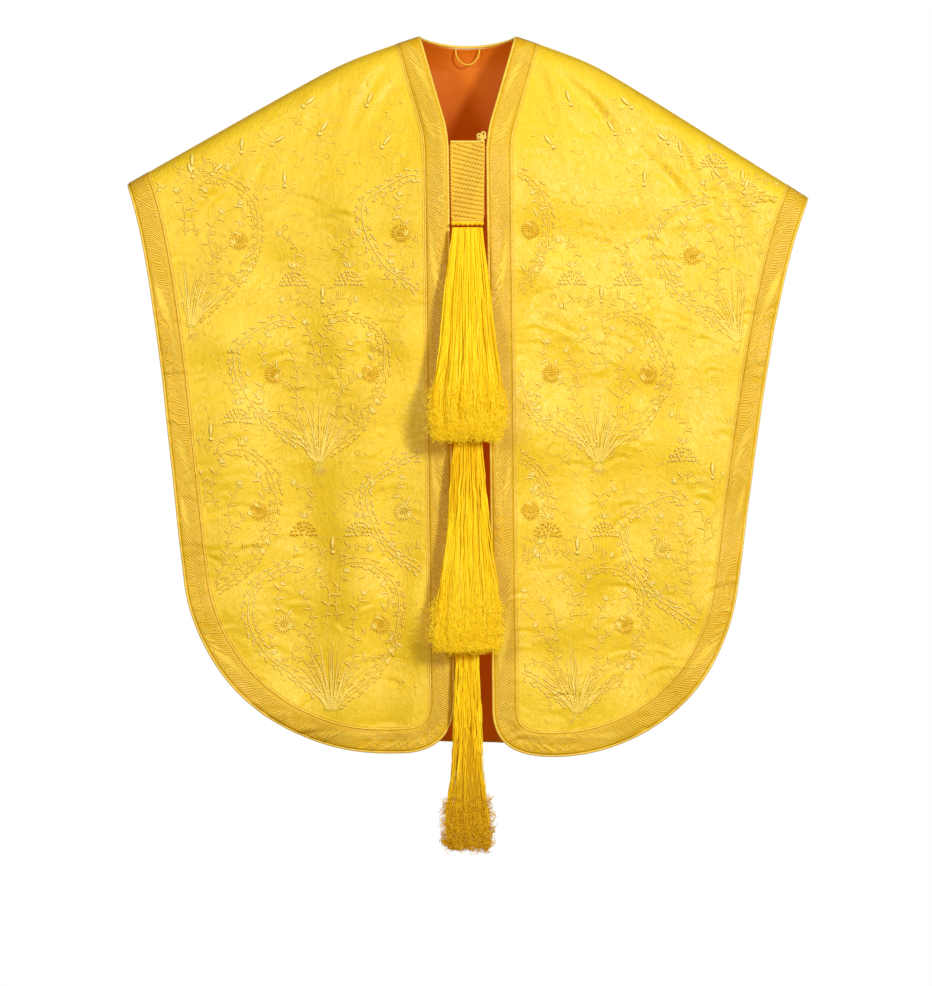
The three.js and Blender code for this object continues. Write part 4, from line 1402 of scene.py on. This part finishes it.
down = np.linspace(1, BAND_LENGTH - 1, 40)[None, :]
share = np.linspace(-0.96, 0.96, 21)[:, None]
backing = band_layer("breast_band_lining", share * band_half(down), (-1.3, -2.1), down)
attach(backing, "closure", "lining", "breast_band_backing")

for name, node, down, half in (
    ("breast_band_top_roll", "breast_band_top_binding", -2.5, CLOSURE_HALF[0]),
    ("breast_band_foot_roll", "breast_band_foot_binding", BAND_LENGTH + 2.5, CLOSURE_HALF[1]),
):
    x = np.linspace(-half, half, 41)
    path = in_band(x, 0, down)
    ends = np.where(np.abs(x) > half - 0.5, 0.6, 1.0)
    attach(tubes(name, path[None], 2.2 * ends, 12, CORD), "closure", "cord", node)


def side_loops():
    """Buttonhole loops along both sides of the band."""
    turn = np.linspace(0, 2 * np.pi, 11)
    loops = []
    for hand in (-1, 1):
        for down in np.arange(6, BAND_LENGTH - 4, 5.2):
            x = hand * band_half(down) + 1.1 * np.cos(turn)
            loops.append(in_band(x, 1.9 * np.sin(turn) + 0.2, down + 1.2 * np.cos(turn)))
    return tubes("breast_band_lacing", np.array(loops), 0.55, 5, CORD)


lacing = attach(side_loops(), "closure", "cord")



def corner_tuft():
    """The tuft at the top corner: five loops of cord over a wound knot."""
    centre = CLOSURE_HALF[0] - 5
    bows = []
    for lean, reach, thick in ((-0.5, 12, 3), (0.25, 14, 3.4), (-0.95, 8, 3), (0.7, 9, 3), (-0.1, 10, 3)):
        t = np.linspace(0, 1, 15)
        swing = lean + 0.5 * np.sin(2 * np.pi * t) * thick / 6
        rise = reach * np.sin(np.pi * t * 0.93)
        lift = -1 + thick * np.sin(2 * np.pi * t) / 2
        bows.append(in_band(centre + rise * np.sin(swing), lift, -5 - rise * np.cos(swing)))
    turn = np.linspace(0, 6 * np.pi, 15)
    bows.append(in_band(centre + 3 * np.cos(turn), 2.6 * np.sin(turn), -5.5 + 3 * np.cos(turn / 6)))
    return tubes("corner_tuft", np.array(bows), 1.6, 6, PALE_THREAD)


attach(corner_tuft(), "closure", "cord", "corner_knot")

# The tab behind the band, sewn to the right front.
down = np.linspace(6, BAND_LENGTH - 8, 45)[None, :]
tab = band_layer("closure_tab_cloth", np.linspace(6, 38, 12)[:, None], (-7.0, -8.6), down)
attach(tab, "fronts", "lining", "closure_tab")

for name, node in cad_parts.items():
    if name.startswith(("press_stud", "press_socket", "hanging_loop")):
        node.data.materials.clear()
        node.data.materials.append(CORD if name == "hanging_loop" else METAL)

# ---- Tassel ----


def knot_paths():
    """Thread wound round each header knot, as one spiral from pole to pole."""
    t = np.linspace(0.03, 0.97, 64)
    turn = 12 * np.pi * t
    wide = (KNOT_R - 0.6) * np.sin(np.pi * t)
    paths = []
    for k in range(KNOT_COUNT):
        x = (k - (KNOT_COUNT - 1) / 2) * KNOT_PITCH + (KNOT_R - 0.6) * np.cos(np.pi * t)
        paths.append(np.stack([x, KNOT_Y + wide * np.cos(turn), HEAD_Z + wide * np.sin(turn)], -1))
    return np.array(paths)


knots = tubes("header_knots", knot_paths(), 0.85, 5, TASSEL, np.linspace(0, 0.3, KNOT_COUNT))
knot_nodes = ["header_knot_%d" % (k + 1) for k in range(KNOT_COUNT)]
attach(knots, "tassel_head", "tassel_silk", *knot_nodes)
line = np.linspace(-24, 24, 40)
header = np.stack([line, np.full(40, KNOT_Y + KNOT_R + 2), np.full(40, HEAD_Z)], -1)
attach(tubes("tassel_header", header[None], 1.4, 8, CORD), "tassel_head", "cord", "tassel_header_cord")


STRAND_STEP = 11
HANK_DEPTH = 0.062
SPLITS = 6
LOOSE_FIBRES = 620


class Tier:
    """One tier of the tassel: strands at places (a, b) of its oval section, a across and b back."""

    def __init__(self, sections, strands, seed):
        rows = np.array(sections, float)[::-1]
        self.z, self.half, self.back, self.front = rows.T
        self.top = self.z[-1]
        self.foot = self.z[0]
        self.random = np.random.default_rng(seed)
        self.r = np.sqrt(self.random.uniform(0.08, 1, strands))
        turn = self.random.uniform(0, 2 * np.pi, strands)
        self.a = (self.r * np.cos(turn))[:, None]
        self.b = (self.r * np.sin(turn))[:, None]

    def at(self, a, b, z):
        """The x and y of a place in the section at each height."""
        half = np.interp(z, self.z, self.half)
        back = np.interp(z, self.z, self.back)
        front = np.interp(z, self.z, self.front)
        return a * half, (back + front) / 2 + b * (back - front) / 2

    def strands(self, name, radius):
        """Long strands from the head, gathered into hanks, each with its own slow waves."""
        random = self.random
        count = len(self.a)
        length = self.top - self.foot
        t = np.linspace(0, 1, round(length / STRAND_STEP) + 1)[None, :]
        reach = length - random.uniform(18, 46, (count, 1))
        z = self.top - reach * t
        phase = random.uniform(0, 2 * np.pi, (count, 4))
        down = (self.top - z) / length
        gather = HANK_DEPTH * np.sin(5 * np.pi * self.a + 0.7) * smooth(down, 0.3, 0.8)
        x, y = self.at(1.03 * (self.a - gather), 0.92 * self.b, z)
        sway = 0.5 + 1.8 * smooth(down, 0.3, 1)
        x = x + sway * np.sin(z / 31 + phase[:, :1]) + 0.4 * sway * np.sin(z / 9 + phase[:, 1:2])
        y = y + sway * np.sin(z / 27 + phase[:, 2:3]) + 0.4 * sway * np.sin(z / 11 + phase[:, 3:])
        uneven = 1 + 0.15 * np.sin(z / 3.1 + phase[:, :1])
        thick = radius * uneven * (1 - 0.75 * smooth(t, 0.8, 1))
        tone = random.uniform(0, 1, count)
        return tubes(name, np.stack([x, y, z], -1), thick, 5, TASSEL, tone)

    def fringe(self, name, fluff, radius, silk):
        """The plies that each strand parts into over its last stretch, curling towards their ends."""
        random = self.random
        count = len(self.a) * SPLITS
        parent = np.repeat(np.arange(len(self.a)), SPLITS)
        t = np.linspace(0, 1, 26)[None, :]
        start = self.foot + fluff * random.uniform(0.75, 1.25, (count, 1))
        stop = self.foot + random.uniform(-3, 24, (count, 1)) + 8 * self.r[parent][:, None] ** 4
        z = start + (stop - start) * t
        spread = smooth(t, 0, 0.8)
        a = self.a[parent] + spread * random.normal(0, 0.06, (count, 1))
        b = self.b[parent] + spread * random.normal(0, 0.2, (count, 1))
        size = np.maximum(1, np.hypot(a, b) / 0.98)
        gather = HANK_DEPTH * np.sin(5 * np.pi * self.a[parent] + 0.7)
        x, y = self.at(0.96 * (a / size - gather), 0.94 * b / size, z)
        phase = random.uniform(0, 2 * np.pi, (count, 4))
        curl = random.uniform(0.6, 3.6, (count, 1)) * smooth(t, 0.45, 1)
        beat = random.uniform(2.6, 5.5, (count, 1))
        x = x + curl * np.sin(z / beat + phase[:, :1]) + 1.2 * spread * np.sin(z / 17 + phase[:, 1:2])
        y = y + curl * np.cos(z / beat + phase[:, 2:3]) + 1.0 * spread * np.sin(z / 15 + phase[:, 3:])
        ends = np.stack([x, y, z + 0.4 * curl * np.sin(z / 4 + phase[:, 1:2])], -1)
        thin = 0.52 * radius * (1 - 0.5 * t) * np.ones((count, 1))
        return tubes(name, ends, thin, 3, silk, random.uniform(0, 1, count))

    def fluff(self, name, silk):
        """Fine loose fibres that stand out round the end."""
        random = self.random
        count = LOOSE_FIBRES
        turn = random.uniform(0, 2 * np.pi, (count, 1))
        depth = random.uniform(0.82, 1, (count, 1))
        t = np.linspace(0, 1, 14)[None, :]
        root = self.foot + random.uniform(3, 9, (count, 1)) + 80 * random.random((count, 1)) ** 2.2
        z = root + random.uniform(-9, 9, (count, 1)) * t + 4 * np.sin(7 * t + turn)
        x, y = self.at(depth * np.cos(turn), depth * np.sin(turn), z)
        phase = random.uniform(0, 2 * np.pi, (count, 2))
        x = x + 8.5 * t * np.cos(turn) + 4.2 * np.sin(8 * t + phase[:, :1])
        y = y + 4.5 * t * np.sin(turn) + 3.4 * np.sin(8 * t + phase[:, 1:])
        return tubes(name, np.stack([x, y, z], -1), 0.36, 3, silk, random.uniform(0, 1, count))


# The fringe and fluff of the upper and middle tiers take the paler copy, painted light; those of the
# lower tier take the darker copy, painted shade.
for label, sections, strands, fluff, radius, seed, silk in (
    ("upper", UPPER_TIER, 200, 190, 1.2, 51, PAINTED_LIGHT_FLUFF),
    ("middle", MIDDLE_TIER, 180, 210, 1.2, 52, PAINTED_LIGHT_FLUFF),
    ("lower", LOWER_TIER, 150, 175, 1.15, 53, PAINTED_SHADE_FLUFF),
):
    body = label + "_tier"
    tier = Tier(sections, strands, seed)
    attach(tier.strands(body + "_strands", radius), body, "tassel_silk", label + "_tassel")
    attach(tier.fringe(body + "_fringe", fluff, radius, silk), body, "tassel_silk")
    attach(tier.fluff(body + "_fluff", silk), body, "tassel_silk")

# ---- Studio ----


# The camera sees white paper; the object gets a faint warm fill, as from the paper round it.
world = bpy.data.worlds.new("studio")
bpy.context.scene.world = world
world.use_nodes = True
nodes = world.node_tree.nodes
light_path = nodes.new("ShaderNodeLightPath")
fill = nodes["Background"]
fill.inputs["Color"].default_value = (1, 0.5, 0.12, 1)
fill.inputs["Strength"].default_value = 0.2
paper = nodes.new("ShaderNodeBackground")
paper.inputs["Color"].default_value = (1, 1, 1, 1)
paper.inputs["Strength"].default_value = 1.0
either = nodes.new("ShaderNodeMixShader")
for source, target in (
    (light_path.outputs["Is Camera Ray"], either.inputs[0]),
    (fill.outputs[0], either.inputs[1]),
    (paper.outputs[0], either.inputs[2]),
    (either.outputs[0], nodes["World Output"].inputs["Surface"]),
):
    world.node_tree.links.new(source, target)


def add_softbox(name, place, aim, size, power):
    data = bpy.data.lights.new(name, "AREA")
    data.shape = "RECTANGLE"
    data.size, data.size_y = size
    data.energy = power
    lamp = bpy.data.objects.new(name, data)
    bpy.context.scene.collection.objects.link(lamp)
    lamp.location = place
    away = np.array(place, float) - np.array(aim, float)
    flat = math.hypot(away[0], away[1])
    lamp.rotation_euler = (math.atan2(flat, away[2]), 0, math.atan2(away[0], -away[1]))


# Places and aims in metres, sizes in metres, powers in watts.
add_softbox("key", (2.1, -4.4, 0.7), (0, 0, -0.6), (0.6, 0.8), 168)
add_softbox("left_fill", (-2.0, -4.4, 0.2), (0, 0, -0.7), (0.9, 1.2), 70)
add_softbox("top_light", (0, -2.0, 2.4), (0, 0, -0.2), (3.0, 1.2), 21)
add_softbox("back_fill", (0.5, 4.2, -0.5), (0, 0, -0.6), (2.6, 2.0), 135)
